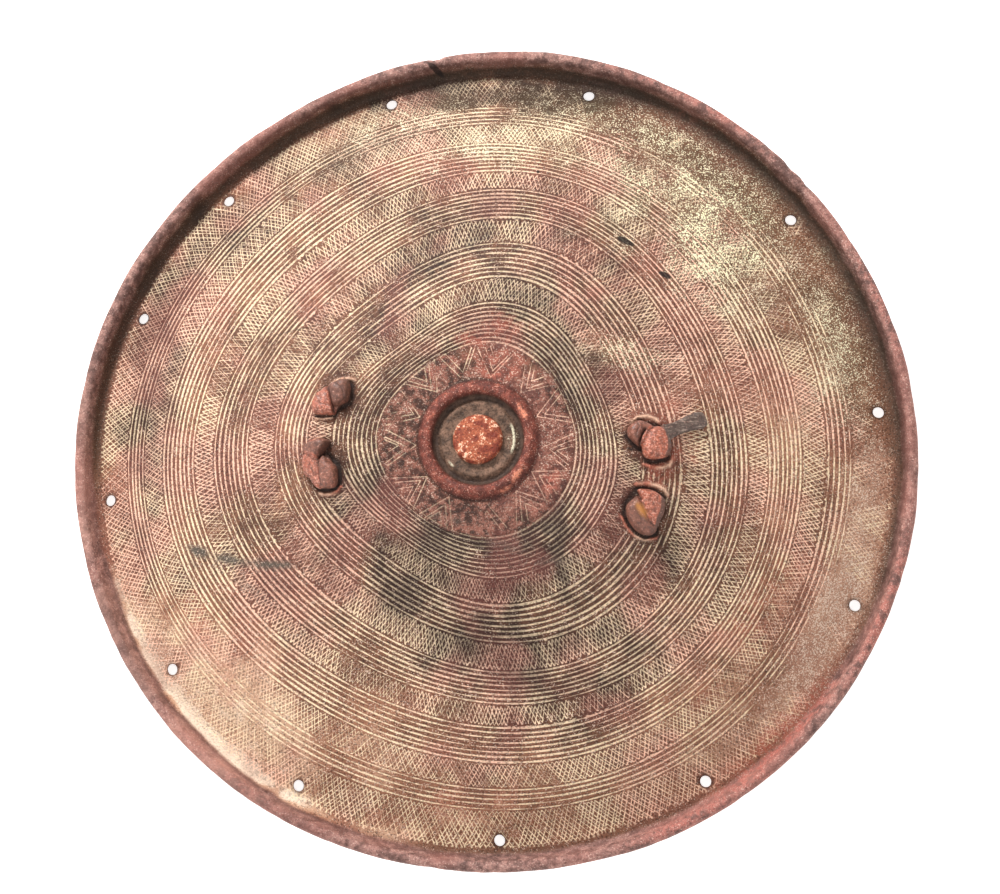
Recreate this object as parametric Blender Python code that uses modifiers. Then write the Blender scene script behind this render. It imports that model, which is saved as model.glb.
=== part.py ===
# Round hide buckler. One disc of thick hide is moulded into a shallow dome with a boss, a valley and an
# upturned rim, and worked with bands of rings. One strip of hide is the hand grip behind it: its ends are
# slit in two, and the four thongs come through the hide and are knotted on the front.
# The shield lies on its back with the boss up. Metres, +Z up. The origin is in the middle of the outline,
# on the surface that the shield lies on.

import math

import bmesh
import bpy
from mathutils import Matrix, Vector

# Hide disc
SHIELD_DIAMETER = 0.360
WALL = 0.005
DOME_HEIGHT = 0.0535
RIM_WIDTH = 0.0095
RIM_RISE = 0.008
RIM_LEAN = math.radians(65)
REST_WIDTH = 0.004

# Boss
BOSS_DISC_DIAMETER = 0.022
BOSS_DISC_RISE = 0.0035
BOSS_EDGE = 0.0006
BOSS_RING_INNER_DIAMETER = 0.036
BOSS_RING_OUTER_DIAMETER = 0.0488
BOSS_RING_RISE = 0.0031
BOSS_FLOOR_RISE = 0.0004
BOSS_FLANK = 0.0014

# The dome's section from boss to valley, as shares of the valley's radius and of the dome height
DOME_SECTION = ((0.0, 1.003), (0.152, 1.0), (0.296, 0.972), (0.373, 0.933), (0.524, 0.72),
                (0.666, 0.555), (0.81, 0.362), (0.918, 0.155), (0.976, 0.035), (1.0, 0.0))

# Bands of rings, as shares of the valley's radius, each with its number of main grooves
RING_BANDS = ((0.243, 0.340, 3), (0.399, 0.493, 3), (0.563, 0.651, 3), (0.704, 0.785, 3), (0.851, 0.900, 2))
RING_DEPTH = 0.0006

# The hide was shaped by hand, so its rings are a little oval, three-sided and four-sided. Each swelling has
# its number of lobes, its turn in degrees, its share of the largest, and what is left of it at the outline.
SWELLING = 0.0037
SWELLINGS = ((2, -18, 0.58, 0.95), (3, -49, 1.0, 0.26), (4, -4, 0.4, 0.25))
SWELL_START = 0.12
SWELL_FULL = 0.36
SWELL_FADE = 0.6

# Holes along the rim, at their angles round the shield
RIM_HOLE_DIAMETER = 0.0043
RIM_HOLE_INSET = 0.0150
RIM_HOLE_ANGLES = (6.5, 39, 76, 106.5, 135.5, 157.5, 185.5, 213, 239.5, 271.5, 303.5, 337.5)

# Lacing: where the four slits are, and how a thong sits in its slit
GRIP_CENTRE_X = 0.0030
GRIP_CENTRE_Y = -0.0046
GRIP_TURN = math.radians(-8.0)
GRIP_SPAN = 0.1355
SLIT_PITCH = 0.0297
LEFT_PAIR_TURN = 0.0
RIGHT_PAIR_TURN = math.radians(6.6)
THONG_WIDTH = 0.0085
THONG_THICKNESS = 0.005
SLIT_CLEARANCE = 0.0003
HIDE_GAP = 0.0006

# Hand grip
FINGER_GAP = 0.028
GRIP_LENGTH = 0.104
GRIP_WIDTH = 0.022
GRIP_THICKNESS = 0.008
THONG_BEND = 0.015
THONG_JOIN = 0.86
# The bar's sections from its straight middle to its end: place along the half length, share of the full width
# over that of two thongs, share of the full thickness
BAR_SECTIONS = ((0.6, 1.0, 1.0), (0.86, 0.6, 0.85), (1.0, 0.0, 0.6))

# Knots: half length, half width and height of one lobe, how far the lobes stand from the slit, and how each
# knot is turned in degrees: left upper, left lower, right upper, right lower
LOBE_LENGTH = 0.0057
LOBE_WIDTH = 0.0060
LOBE_HEIGHT = 0.0080
LOBE_SPREAD = 0.0040
KNOT_TURNS = (20, -72, -30, 60)
TAIL_LENGTH = 0.023
TAIL_WIDTH = 0.0080
TAIL_THICKNESS = 0.0016
TAIL_TURN = math.radians(27)
TAIL_SLIT = 2

# Fineness of the faceted surfaces
TURN_STEPS = 60
HOLE_SIDES = 10
SLIT_SIDES = 12
STRIP_SIDES = 8
BAR_SIDES = 12
STRIP_STATIONS = 7
FOOT_ROWS = (0.35, 0.70)
RIM_FRONT_ROWS = (0.0, 0.4, 0.7, 1.0)
RIM_BACK_ROWS = (1.0, 0.7, 0.45)
LIP_ROWS = 3
BACK_ROWS = 9
BACK_ROW_SHARES = (0.95, 0.08)
SMOOTH_ANGLE = math.radians(35)

RADIUS = SHIELD_DIAMETER / 2
VALLEY_RADIUS = RADIUS - RIM_WIDTH
FULL_TURN = 2 * math.pi


def clear_scene():
    for old in list(bpy.data.objects):
        bpy.data.objects.remove(old, do_unlink=True)


def make_collection(name):
    collection = bpy.data.collections.new(name)
    bpy.context.scene.collection.children.link(collection)
    return collection


def make_material(name, color, roughness):
    material = bpy.data.materials.new(name)
    material.use_nodes = True
    shader = material.node_tree.nodes["Principled BSDF"]
    shader.inputs["Base Color"].default_value = (*color, 1.0)
    shader.inputs["Roughness"].default_value = roughness
    shader.inputs["Metallic"].default_value = 0.0
    return material


def make_object(name, mesh, collection):
    obj = bpy.data.objects.new(name, mesh)
    collection.objects.link(obj)
    return obj


def mark_as_tool(obj):
    obj.hide_render = True
    obj.display_type = "WIRE"


def smooth_step(low, high, value):
    share = min(1.0, max(0.0, (value - low) / (high - low)))
    return share * share * (3 - 2 * share)


def curve_value(points, x):
    # Height of a smooth curve through the points, which never overshoots between two of them
    count = len(points)
    steps = [(points[i + 1][1] - points[i][1]) / (points[i + 1][0] - points[i][0]) for i in range(count - 1)]
    slopes = [steps[0]] + [(a + b) / 2 if a * b > 0 else 0.0 for a, b in zip(steps, steps[1:])] + [0.0]
    place = max(i for i in range(count - 1) if i == 0 or points[i][0] <= x)
    width = points[place + 1][0] - points[place][0]
    t = min(1.0, max(0.0, (x - points[place][0]) / width))
    start = (2 * t ** 3 - 3 * t ** 2 + 1) * points[place][1]
    end = (3 * t ** 2 - 2 * t ** 3) * points[place + 1][1]
    leave = (t ** 3 - 2 * t ** 2 + t) * width * slopes[place]
    arrive = (t ** 3 - t ** 2) * width * slopes[place + 1]
    return start + end + leave + arrive


def dome_front(radius):
    # Height of the plain front of the hide, without grooves and boss
    return WALL + DOME_HEIGHT * curve_value(DOME_SECTION, radius / VALLEY_RADIUS)


def swell(radius, angle):
    # How far the hide stands out from a true circle
    share = radius / RADIUS
    size_here = SWELLING * smooth_step(SWELL_START, SWELL_FULL, share)
    fade = smooth_step(SWELL_FADE, 1.0, share)
    reach = 0.0
    for lobes, turn, size, left in SWELLINGS:
        reach += size_here * size * (1 - (1 - left) * fade) * math.cos(lobes * (angle - math.radians(turn)))
    return reach


def outline_middle():
    # Middle of the outline's extents, which becomes the origin
    spots = [FULL_TURN * step / TURN_STEPS for step in range(TURN_STEPS)]
    xs = [(RADIUS + swell(RADIUS, spot)) * math.cos(spot) for spot in spots]
    ys = [(RADIUS + swell(RADIUS, spot)) * math.sin(spot) for spot in spots]
    return Vector(((min(xs) + max(xs)) / 2, (min(ys) + max(ys)) / 2, 0.0))


def hide_height(x, y):
    # Height of the hide's front at a place given from the boss
    angle = math.atan2(y, x)
    distance = math.hypot(x, y)
    radius = distance
    for _ in range(6):
        radius = distance - swell(radius, angle)
    return dome_front(radius)


def hide_point(x, y):
    return Vector((x, y, hide_height(x, y)))


def hide_normal(x, y):
    reach = WALL / 2
    along_x = hide_point(x + reach, y) - hide_point(x - reach, y)
    along_y = hide_point(x, y + reach) - hide_point(x, y - reach)
    return along_x.cross(along_y).normalized()


def bezier(start, leave, arrive, end, t):
    s = 1 - t
    return start * s ** 3 + leave * (3 * s * s * t) + arrive * (3 * s * t * t) + end * t ** 3


def bezier_run(start, leave, arrive, end, t):
    # Direction of the same curve
    s = 1 - t
    return ((leave - start) * (s * s) + (arrive - leave) * (2 * s * t) + (end - arrive) * (t * t)).normalized()


def boss_rows():
    disc = BOSS_DISC_DIAMETER / 2
    inner = BOSS_RING_INNER_DIAMETER / 2
    outer = BOSS_RING_OUTER_DIAMETER / 2
    crown = dome_front(0.0)
    disc_top = crown + BOSS_DISC_RISE
    floor = crown + BOSS_FLOOR_RISE
    ring_top = crown + BOSS_RING_RISE
    return [(0.0, disc_top), (disc - BOSS_EDGE, disc_top), (disc, disc_top - BOSS_EDGE),
            (disc + BOSS_EDGE, floor), (inner, floor), (inner + BOSS_EDGE, ring_top - BOSS_EDGE),
            ((inner + outer) / 2, ring_top), (outer - BOSS_EDGE, ring_top - 2 * BOSS_EDGE),
            (outer + BOSS_FLANK, dome_front(outer + BOSS_FLANK))]


def ring_rows():
    rows = []
    for inner, outer, grooves in RING_BANDS:
        for step in range(2 * grooves + 1):
            radius = VALLEY_RADIUS * (inner + (outer - inner) * step / (2 * grooves))
            depth = RING_DEPTH if step % 2 else 0.0
            rows.append((radius, dome_front(radius) - depth))
    return rows


def lip_centre():
    return Vector((RADIUS - WALL / 2, WALL / 2 + RIM_RISE))


def rim_curve():
    # Front of the rim's bend, from the valley up to the lip
    lean = Vector((math.cos(RIM_LEAN), math.sin(RIM_LEAN)))
    start = Vector((VALLEY_RADIUS, WALL))
    end = lip_centre() - Vector((lean.y, -lean.x)) * WALL / 2
    leave = start + Vector((0.5 * (end.x - start.x), 0.0))
    arrive = end - lean * 0.4 * RIM_RISE
    return start, leave, arrive, end


def rim_rows():
    start, leave, arrive, end = rim_curve()
    front_end = VALLEY_RADIUS * RING_BANDS[-1][1]
    foot = [front_end + (VALLEY_RADIUS - front_end) * share for share in FOOT_ROWS]
    rows = [(radius, dome_front(radius)) for radius in foot]
    rows += [tuple(bezier(start, leave, arrive, end, t)) for t in RIM_FRONT_ROWS]
    centre = lip_centre()
    for step in range(1, LIP_ROWS + 1):
        angle = math.pi / 2 + RIM_LEAN - math.pi * step / (LIP_ROWS + 1)
        rows.append((centre.x + math.cos(angle) * WALL / 2, centre.y + math.sin(angle) * WALL / 2))
    for t in RIM_BACK_ROWS:
        spot = bezier(start, leave, arrive, end, t)
        run = bezier_run(start, leave, arrive, end, t)
        rows.append((spot.x + run.y * WALL, spot.y - run.x * WALL))
    rows.append((VALLEY_RADIUS + REST_WIDTH / 2, 0.0))
    rows.append((VALLEY_RADIUS - REST_WIDTH / 2, 0.0))
    return rows


def back_rows():
    rows = []
    reach = WALL / 10
    outer, inner = BACK_ROW_SHARES
    for step in range(BACK_ROWS):
        radius = VALLEY_RADIUS * (outer + (inner - outer) * step / (BACK_ROWS - 1))
        run = Vector((2 * reach, dome_front(radius + reach) - dome_front(radius - reach))).normalized()
        rows.append((radius + run.y * WALL, dome_front(radius) - run.x * WALL))
    rows.append((0.0, dome_front(0.0) - WALL))
    return rows


def turned_mesh(name, rows, collection):
    # The section at +X, from the top of the boss out over the lip and back under to the axis
    profile = bpy.data.meshes.new(name + "_section")
    points = [(radius, 0.0, height) for radius, height in rows]
    profile.from_pydata(points, [(i, i + 1) for i in range(len(points) - 1)], [])
    guide = make_object(name + "_section", profile, collection)
    screw = guide.modifiers.new("turn", "SCREW")
    screw.axis = "Z"
    screw.angle = FULL_TURN
    screw.steps = TURN_STEPS
    screw.render_steps = TURN_STEPS
    screw.use_merge_vertices = True
    screw.merge_threshold = 0.00001
    graph = bpy.context.evaluated_depsgraph_get()
    mesh = bpy.data.meshes.new_from_object(guide.evaluated_get(graph), depsgraph=graph)
    bpy.data.objects.remove(guide, do_unlink=True)
    return mesh


def shape_by_hand(mesh, shift):
    for vertex in mesh.vertices:
        radius = math.hypot(vertex.co.x, vertex.co.y)
        angle = math.atan2(vertex.co.y, vertex.co.x)
        reach = radius + swell(radius, angle)
        vertex.co = Vector((reach * math.cos(angle), reach * math.sin(angle), vertex.co.z)) - shift


def slit_places():
    # Centre and long axis of each slit: left upper, left lower, right upper, right lower
    along = Vector((math.cos(GRIP_TURN), math.sin(GRIP_TURN)))
    places = []
    for side, turn in ((-1, LEFT_PAIR_TURN), (1, RIGHT_PAIR_TURN)):
        angle = GRIP_TURN + turn + math.pi / 2
        across = Vector((math.cos(angle), math.sin(angle)))
        middle = Vector((GRIP_CENTRE_X, GRIP_CENTRE_Y)) + along * (side * GRIP_SPAN / 2)
        for row in (1, -1):
            places.append((middle + across * (row * SLIT_PITCH / 2), across, side, row))
    return places


def slit_frame(spot, across):
    # Axes at a slit: long axis, short axis and the hide's normal
    up = hide_normal(spot.x, spot.y)
    long_axis = Vector((across.x, across.y, 0.0))
    long_axis = (long_axis - up * long_axis.dot(up)).normalized()
    return long_axis, up.cross(long_axis), up


def cut(target, tool, name):
    boolean = target.modifiers.new(name, "BOOLEAN")
    boolean.operation = "DIFFERENCE"
    boolean.solver = "EXACT"
    boolean.object = tool


def oval_cutter(name, long_half, short_half, depth, sides, placing, collection):
    mesh = bpy.data.meshes.new(name)
    work = bmesh.new()
    bmesh.ops.create_cone(work, cap_ends=True, segments=sides, radius1=1.0, radius2=1.0, depth=1.0)
    bmesh.ops.transform(work, matrix=placing @ Matrix.Diagonal((long_half, short_half, depth, 1.0)),
                        verts=work.verts)
    work.to_mesh(mesh)
    work.free()
    cutter = make_object(name, mesh, collection)
    mark_as_tool(cutter)
    return cutter


def make_body(collection, tools, shift):
    rows = boss_rows() + ring_rows() + rim_rows() + back_rows()
    mesh = turned_mesh("shield_body", rows, tools)
    shape_by_hand(mesh, shift)
    body = make_object("shield_body", mesh, collection)
    hole_half = RIM_HOLE_DIAMETER / 2
    hole_depth = 6 * (WALL + RIM_RISE)
    for index, degrees in enumerate(RIM_HOLE_ANGLES):
        angle = math.radians(degrees)
        reach = RADIUS + swell(RADIUS, angle) - RIM_HOLE_INSET
        spot = Vector((reach * math.cos(angle), reach * math.sin(angle), RIM_RISE)) - shift
        hole = oval_cutter(f"rim_hole_{index + 1}", hole_half, hole_half, hole_depth, HOLE_SIDES,
                           Matrix.Translation(spot), tools)
        cut(body, hole, hole.name)
    for index, (spot, across, side, row) in enumerate(slit_places()):
        long_axis, short_axis, up = slit_frame(spot, across)
        turn = Matrix((long_axis, short_axis, up)).transposed().to_4x4()
        middle = hide_point(spot.x, spot.y) - up * WALL / 2 - shift
        slit = oval_cutter(f"slit_{index + 1}", THONG_WIDTH / 2 + SLIT_CLEARANCE,
                           THONG_THICKNESS / 2 + SLIT_CLEARANCE, 4 * WALL, SLIT_SIDES,
                           Matrix.Translation(middle) @ turn, tools)
        cut(body, slit, slit.name)
    body.data.shade_smooth()
    body.data.set_sharp_from_angle(angle=SMOOTH_ANGLE)
    return body


def loft(name, stations, sides, shift, collection):
    # Closed strip through oval sections, each with a centre, a width axis, a thickness axis and two sizes
    mesh = bpy.data.meshes.new(name)
    work = bmesh.new()
    rings = []
    for centre, wide, thick, width, thickness in stations:
        ring = []
        for step in range(sides):
            angle = FULL_TURN * (step + 0.5) / sides
            offset = wide * (math.cos(angle) * width / 2) + thick * (math.sin(angle) * thickness / 2)
            ring.append(work.verts.new(centre + offset - shift))
        rings.append(ring)
    for first, second in zip(rings, rings[1:]):
        for step in range(sides):
            after = (step + 1) % sides
            work.faces.new((first[step], first[after], second[after], second[step]))
    work.faces.new(rings[0][::-1])
    work.faces.new(rings[-1])
    if work.calc_volume(signed=True) < 0:
        bmesh.ops.reverse_faces(work, faces=work.faces)
    work.to_mesh(mesh)
    work.free()
    return make_object(name, mesh, collection)


def grip_height():
    return dome_front(0.0) - WALL - FINGER_GAP - GRIP_THICKNESS / 2


def grip_centre():
    return Vector((GRIP_CENTRE_X, GRIP_CENTRE_Y, grip_height()))


def grip_axes():
    along = Vector((math.cos(GRIP_TURN), math.sin(GRIP_TURN), 0.0))
    across = Vector((-math.sin(GRIP_TURN), math.cos(GRIP_TURN), 0.0))
    return along, across


def make_bar(collection, shift):
    # The unslit middle of the strip, thickest in the palm
    along, across = grip_axes()
    up = Vector((0.0, 0.0, 1.0))
    centre = grip_centre()
    half = [(share, THONG_WIDTH * 2 + (GRIP_WIDTH - THONG_WIDTH * 2) * fullness, GRIP_THICKNESS * thickness)
            for share, fullness, thickness in BAR_SECTIONS]
    stations = []
    for side, sections in ((-1, half[::-1]), (1, half)):
        for share, width, thickness in sections:
            spot = centre + along * (side * share * GRIP_LENGTH / 2)
            stations.append((spot, across, up, width, thickness))
    return loft("hand_grip", stations, BAR_SIDES, shift, collection)


def make_thong(index, place, shift, tools):
    # One thong, from inside its knot down through the slit and round into the end of the bar
    spot, slit_across, side, row = place
    along, across = grip_axes()
    long_axis, short_axis, up = slit_frame(spot, slit_across)
    top = hide_point(spot.x, spot.y)
    centre = grip_centre()
    join = centre + along * (side * THONG_JOIN * GRIP_LENGTH / 2) + across * (row * THONG_WIDTH / 2)
    below = top - up * (WALL + SLIT_CLEARANCE)
    leave = below - up * THONG_BEND
    arrive = join + along * (side * THONG_BEND)
    stations = []
    for height in (LOBE_HEIGHT / 2, 0.0):
        stations.append((top + up * height, long_axis, short_axis, THONG_WIDTH, THONG_THICKNESS))
    for step in range(STRIP_STATIONS):
        t = step / (STRIP_STATIONS - 1)
        centre_point = bezier(below, leave, arrive, join, t)
        ahead = bezier(below, leave, arrive, join, t + 0.01)
        run = (ahead - centre_point).normalized() if step else -up
        guide = long_axis.lerp(across, t)
        wide = (guide - run * guide.dot(run)).normalized()
        stations.append((centre_point, wide, wide.cross(run), THONG_WIDTH, THONG_THICKNESS))
    thong = loft(f"thong_{index + 1}", stations, STRIP_SIDES, shift, tools)
    mark_as_tool(thong)
    return thong


def make_lobe(name, centre, turn, size, tools):
    mesh = bpy.data.meshes.new(name)
    work = bmesh.new()
    bmesh.ops.create_icosphere(work, subdivisions=2, radius=1.0)
    bmesh.ops.transform(work, matrix=Matrix.Translation(centre) @ turn @ Matrix.Diagonal((*size, 1.0)),
                        verts=work.verts)
    work.to_mesh(mesh)
    work.free()
    lobe = make_object(name, mesh, tools)
    mark_as_tool(lobe)
    return lobe


def make_knot(index, place, degrees, shift, tools):
    # Two fat turns of the thong, side by side on the hide, over the slit
    spot = place[0]
    up = hide_normal(spot.x, spot.y)
    angle = math.radians(degrees)
    line = Vector((math.cos(angle), math.sin(angle), 0.0))
    lobes = []
    for side in (-1, 1):
        reach = line * (side * LOBE_SPREAD)
        foot = hide_point(spot.x + reach.x, spot.y + reach.y)
        tilt = hide_normal(foot.x, foot.y)
        centre = foot + tilt * (LOBE_HEIGHT / 2 + HIDE_GAP) - shift
        length_axis = (line - tilt * line.dot(tilt)).normalized()
        turn = Matrix((length_axis, tilt.cross(length_axis), tilt)).transposed().to_4x4()
        size = (LOBE_LENGTH, LOBE_WIDTH, LOBE_HEIGHT / 2)
        name = f"knot_{index + 1}_{'left' if side < 0 else 'right'}"
        lobes.append(make_lobe(name, centre, turn, size, tools))
    return lobes


def make_tail(place, degrees, shift, tools):
    # The loose end of one thong, lying flat on the hide and following it
    angle = math.radians(degrees)
    start = place[0] + Vector((math.cos(angle), math.sin(angle))) * LOBE_SPREAD
    run = Vector((math.cos(TAIL_TURN), math.sin(TAIL_TURN)))
    across = Vector((-run.y, run.x))
    mesh = bpy.data.meshes.new("loose_end")
    work = bmesh.new()
    bmesh.ops.create_grid(work, x_segments=5, y_segments=2, size=0.5)
    for vertex in work.verts:
        flat = start + run * ((vertex.co.x + 0.5) * TAIL_LENGTH) + across * (vertex.co.y * TAIL_WIDTH)
        lift = hide_normal(flat.x, flat.y) * (HIDE_GAP + TAIL_THICKNESS)
        vertex.co = hide_point(flat.x, flat.y) + lift - shift
    work.to_mesh(mesh)
    work.free()
    tail = make_object("loose_end", mesh, tools)
    shell = tail.modifiers.new("thickness", "SOLIDIFY")
    shell.thickness = TAIL_THICKNESS
    shell.offset = -1.0
    mark_as_tool(tail)
    return tail


def make_grip(collection, tools, shift):
    grip = make_bar(collection, shift)
    places = slit_places()
    pieces = []
    for index, (place, degrees) in enumerate(zip(places, KNOT_TURNS)):
        pieces.append(make_thong(index, place, shift, tools))
        pieces += make_knot(index, place, degrees, shift, tools)
    pieces.append(make_tail(places[TAIL_SLIT], KNOT_TURNS[TAIL_SLIT], shift, tools))
    for piece in pieces:
        union = grip.modifiers.new(piece.name, "BOOLEAN")
        union.operation = "UNION"
        union.solver = "EXACT"
        union.object = piece
    grip.data.shade_smooth()
    grip.data.set_sharp_from_angle(angle=SMOOTH_ANGLE)
    return grip


def main():
    clear_scene()
    collection = make_collection("buckler_shield")
    tools = make_collection("cutters")
    shift = outline_middle()
    body = make_body(collection, tools, shift)
    body.data.materials.append(make_material("worked_hide", (0.36, 0.22, 0.17), 0.62))
    grip = make_grip(collection, tools, shift)
    grip.data.materials.append(make_material("thong_hide", (0.24, 0.09, 0.06), 0.58))


main()
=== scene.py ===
import math
import random

import bmesh
import bpy
import numpy as np
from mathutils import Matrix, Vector
from mathutils.geometry import delaunay_2d_cdt


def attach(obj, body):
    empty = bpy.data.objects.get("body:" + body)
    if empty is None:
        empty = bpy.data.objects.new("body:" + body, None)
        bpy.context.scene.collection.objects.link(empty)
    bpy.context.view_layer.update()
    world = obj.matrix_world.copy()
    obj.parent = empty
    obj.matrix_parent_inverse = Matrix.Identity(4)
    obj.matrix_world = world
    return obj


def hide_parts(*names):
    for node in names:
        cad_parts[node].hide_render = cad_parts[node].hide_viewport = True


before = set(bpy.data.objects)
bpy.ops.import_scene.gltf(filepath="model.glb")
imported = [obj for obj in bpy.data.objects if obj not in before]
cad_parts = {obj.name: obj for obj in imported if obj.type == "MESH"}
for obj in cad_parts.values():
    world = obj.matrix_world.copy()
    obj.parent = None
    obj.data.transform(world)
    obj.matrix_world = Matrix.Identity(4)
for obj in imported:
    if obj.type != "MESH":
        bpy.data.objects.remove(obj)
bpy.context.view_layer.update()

# Hide buckler lying on its back, boss up. Lengths are in metres where no note says otherwise. Places are
# given from the boss axis, and each piece is moved into the frame when its mesh is made.
fullTurn = 2 * math.pi
mm = 0.001
dice = random.Random(41)

form = {
    "axis": (0.000807, -0.000524),
    "radius": 0.180,
    "valley": 0.1705,
    "wall": 0.005,
    "dome": 0.0535,
    "section": ((0.0, 1.003), (0.152, 1.0), (0.296, 0.972), (0.373, 0.933), (0.524, 0.72), (0.666, 0.555),
                (0.81, 0.362), (0.918, 0.155), (0.976, 0.035), (1.0, 0.0)),
    "swelling": 0.0037,
    "swellings": ((2, -18, 0.58, 0.95), (3, -49, 1.0, 0.26), (4, -4, 0.4, 0.25)),
}

# How far the worked rings stand out from true circles: radius, then lobes, reach in mm and turn in degrees
ringDrift = (
    (0.0260, ()),
    (0.0630, ((1, 0.9, -23), (2, 1.9, -30), (3, 3.8, -54), (4, 1.8, -6))),
    (0.0888, ((1, 1.2, 17), (2, 2.3, -39), (3, 3.95, -51), (4, 1.3, -5))),
    (0.1136, ((2, 2.6, -23), (3, 3.7, -48), (4, 1.2, -1))),
    (0.1387, ((1, 2.1, -174), (2, 2.75, -25), (3, 2.3, -48), (4, 1.0, 11))),
    (0.1705, ((2, 2.05, -10), (3, 0.97, -40), (4, 0.39, -16), (5, 0.36, 13))),
    (0.1900, ((2, 2.05, -10), (3, 0.97, -40), (4, 0.39, -16), (5, 0.36, 13))),
)


def stepUp(low, high, value):
    share = np.clip((value - low) / (high - low), 0.0, 1.0)
    return share * share * (3 - 2 * share)


def anglesRound(count):
    return fullTurn * np.arange(count) / count


def polar(reach, angle):
    return reach * np.cos(angle), reach * np.sin(angle)


def bezier(points, t):
    s = 1 - t
    a, b, c, d = points
    return a * s ** 3 + b * (3 * s * s * t) + c * (3 * s * t * t) + d * t ** 3


def sectionTable(points, count=1601):
    # A smooth curve through the points that never overshoots between two of them
    steps = [(b[1] - a[1]) / (b[0] - a[0]) for a, b in zip(points, points[1:])]
    slopes = [steps[0]] + [(a + b) / 2 if a * b > 0 else 0.0 for a, b in zip(steps, steps[1:])] + [0.0]
    xs = np.linspace(0.0, 1.0, count)
    ys = np.zeros(count)
    for i, ((x0, y0), (x1, y1)) in enumerate(zip(points, points[1:])):
        inside = (xs >= x0) & (xs <= x1)
        t = (xs[inside] - x0) / (x1 - x0)
        width = x1 - x0
        ys[inside] = ((2 * t ** 3 - 3 * t ** 2 + 1) * y0 + (3 * t ** 2 - 2 * t ** 3) * y1
                      + (t ** 3 - 2 * t ** 2 + t) * width * slopes[i]
                      + (t ** 3 - t ** 2) * width * slopes[i + 1])
    return xs, ys


sectionX, sectionY = sectionTable(form["section"])
tableR = np.linspace(0.0, form["valley"], 1401)
tableZ = form["wall"] + form["dome"] * np.interp(tableR / form["valley"], sectionX, sectionY)
tableSlope = np.gradient(tableZ, tableR)
tableTilt = np.sqrt(1 + tableSlope ** 2)
backR = tableR + tableSlope / tableTilt * form["wall"]
backZ = tableZ - form["wall"] / tableTilt


def swell(radius, angle):
    share = radius / form["radius"]
    size = form["swelling"] * stepUp(0.12, 0.36, share)
    fade = stepUp(0.6, 1.0, share)
    reach = 0.0
    for lobes, turn, part, left in form["swellings"]:
        reach = reach + size * part * (1 - (1 - left) * fade) * np.cos(lobes * (angle - math.radians(turn)))
    return reach


driftRadii = [row[0] for row in ringDrift]
driftWaves = {}
for lobes in (1, 2, 3, 4, 5):
    cosines, sines = [], []
    for row in ringDrift:
        wave = [(reach, turn) for count, reach, turn in row[1] if count == lobes]
        reach, turn = wave[0] if wave else (0.0, 0.0)
        cosines.append(0.001 * reach * math.cos(lobes * math.radians(turn)))
        sines.append(0.001 * reach * math.sin(lobes * math.radians(turn)))
    driftWaves[lobes] = (cosines, sines)


def drift(rho, angle):
    reach = 0.0
    for lobes, (cosines, sines) in driftWaves.items():
        reach = reach + (np.interp(rho, driftRadii, cosines) * np.cos(lobes * angle)
                         + np.interp(rho, driftRadii, sines) * np.sin(lobes * angle))
    return reach


def drifted(rho, angle):
    return polar(rho + drift(rho, angle), angle)


def undo(shift, distance, angle):
    # The radius that a shift moves out to this distance
    radius = distance
    for _ in range(6):
        radius = distance - shift(radius, angle)
    return radius


def formRadius(x, y):
    # Radius of the unswollen section at a place in plan
    return undo(swell, np.hypot(x, y), np.arctan2(y, x))


def formHeight(x, y):
    return np.interp(formRadius(x, y), tableR, tableZ)


def backHeight(x, y):
    return np.interp(formRadius(x, y), backR, backZ)


def hidePoint(x, y):
    return Vector((x, y, float(formHeight(np.array([x]), np.array([y]))[0])))


def hideNormal(x, y):
    reach = 0.0025
    alongX = hidePoint(x + reach, y) - hidePoint(x - reach, y)
    alongY = hidePoint(x, y + reach) - hidePoint(x, y - reach)
    return alongX.cross(alongY).normalized()


def valueNoise(x, y, cell, seed):
    # Smooth random values over the plan, for wear and for unevenness
    cells = 96
    grid = np.random.default_rng(seed).random((cells, cells))
    u = np.asarray(x) / cell + cells / 2
    v = np.asarray(y) / cell + cells / 2
    i, j = np.floor(u).astype(int), np.floor(v).astype(int)
    s, t = stepUp(0, 1, u - i), stepUp(0, 1, v - j)
    i0, i1, j0, j1 = i % cells, (i + 1) % cells, j % cells, (j + 1) % cells
    return ((grid[i0, j0] * (1 - s) + grid[i1, j0] * s) * (1 - t)
            + (grid[i0, j1] * (1 - s) + grid[i1, j1] * s) * t)


def softNoise(x, y, cell, seed, octaves=3):
    # Cloudy values round 0.5 with no grid to be seen
    total, size = 0.0, 1.0
    for octave in range(octaves):
        for extra, stretch in ((0.0, 1.0), (0.9, 0.83)):
            turn = 0.7 + 1.3 * octave + 0.37 * seed + extra
            c, s = math.cos(turn), math.sin(turn)
            total = total + size * (valueNoise(x * c - y * s, x * s + y * c, cell * stretch * 0.5 ** octave,
                                               seed + 17 * octave + round(9 * extra)) - 0.5)
        size *= 0.58
    return 0.5 + 0.36 * total


def waveAlong(angle, seed, reach, lowest=3, highest=17, count=6):
    # A few waves round the shield, for lines drawn by hand
    generator = random.Random(seed)
    total = 0.0
    for _ in range(count):
        lobes = generator.randint(lowest, highest)
        total = total + generator.uniform(0.3, 1.0) * np.cos(lobes * angle + generator.uniform(0, fullTurn))
    return total * reach / math.sqrt(count)


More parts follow.
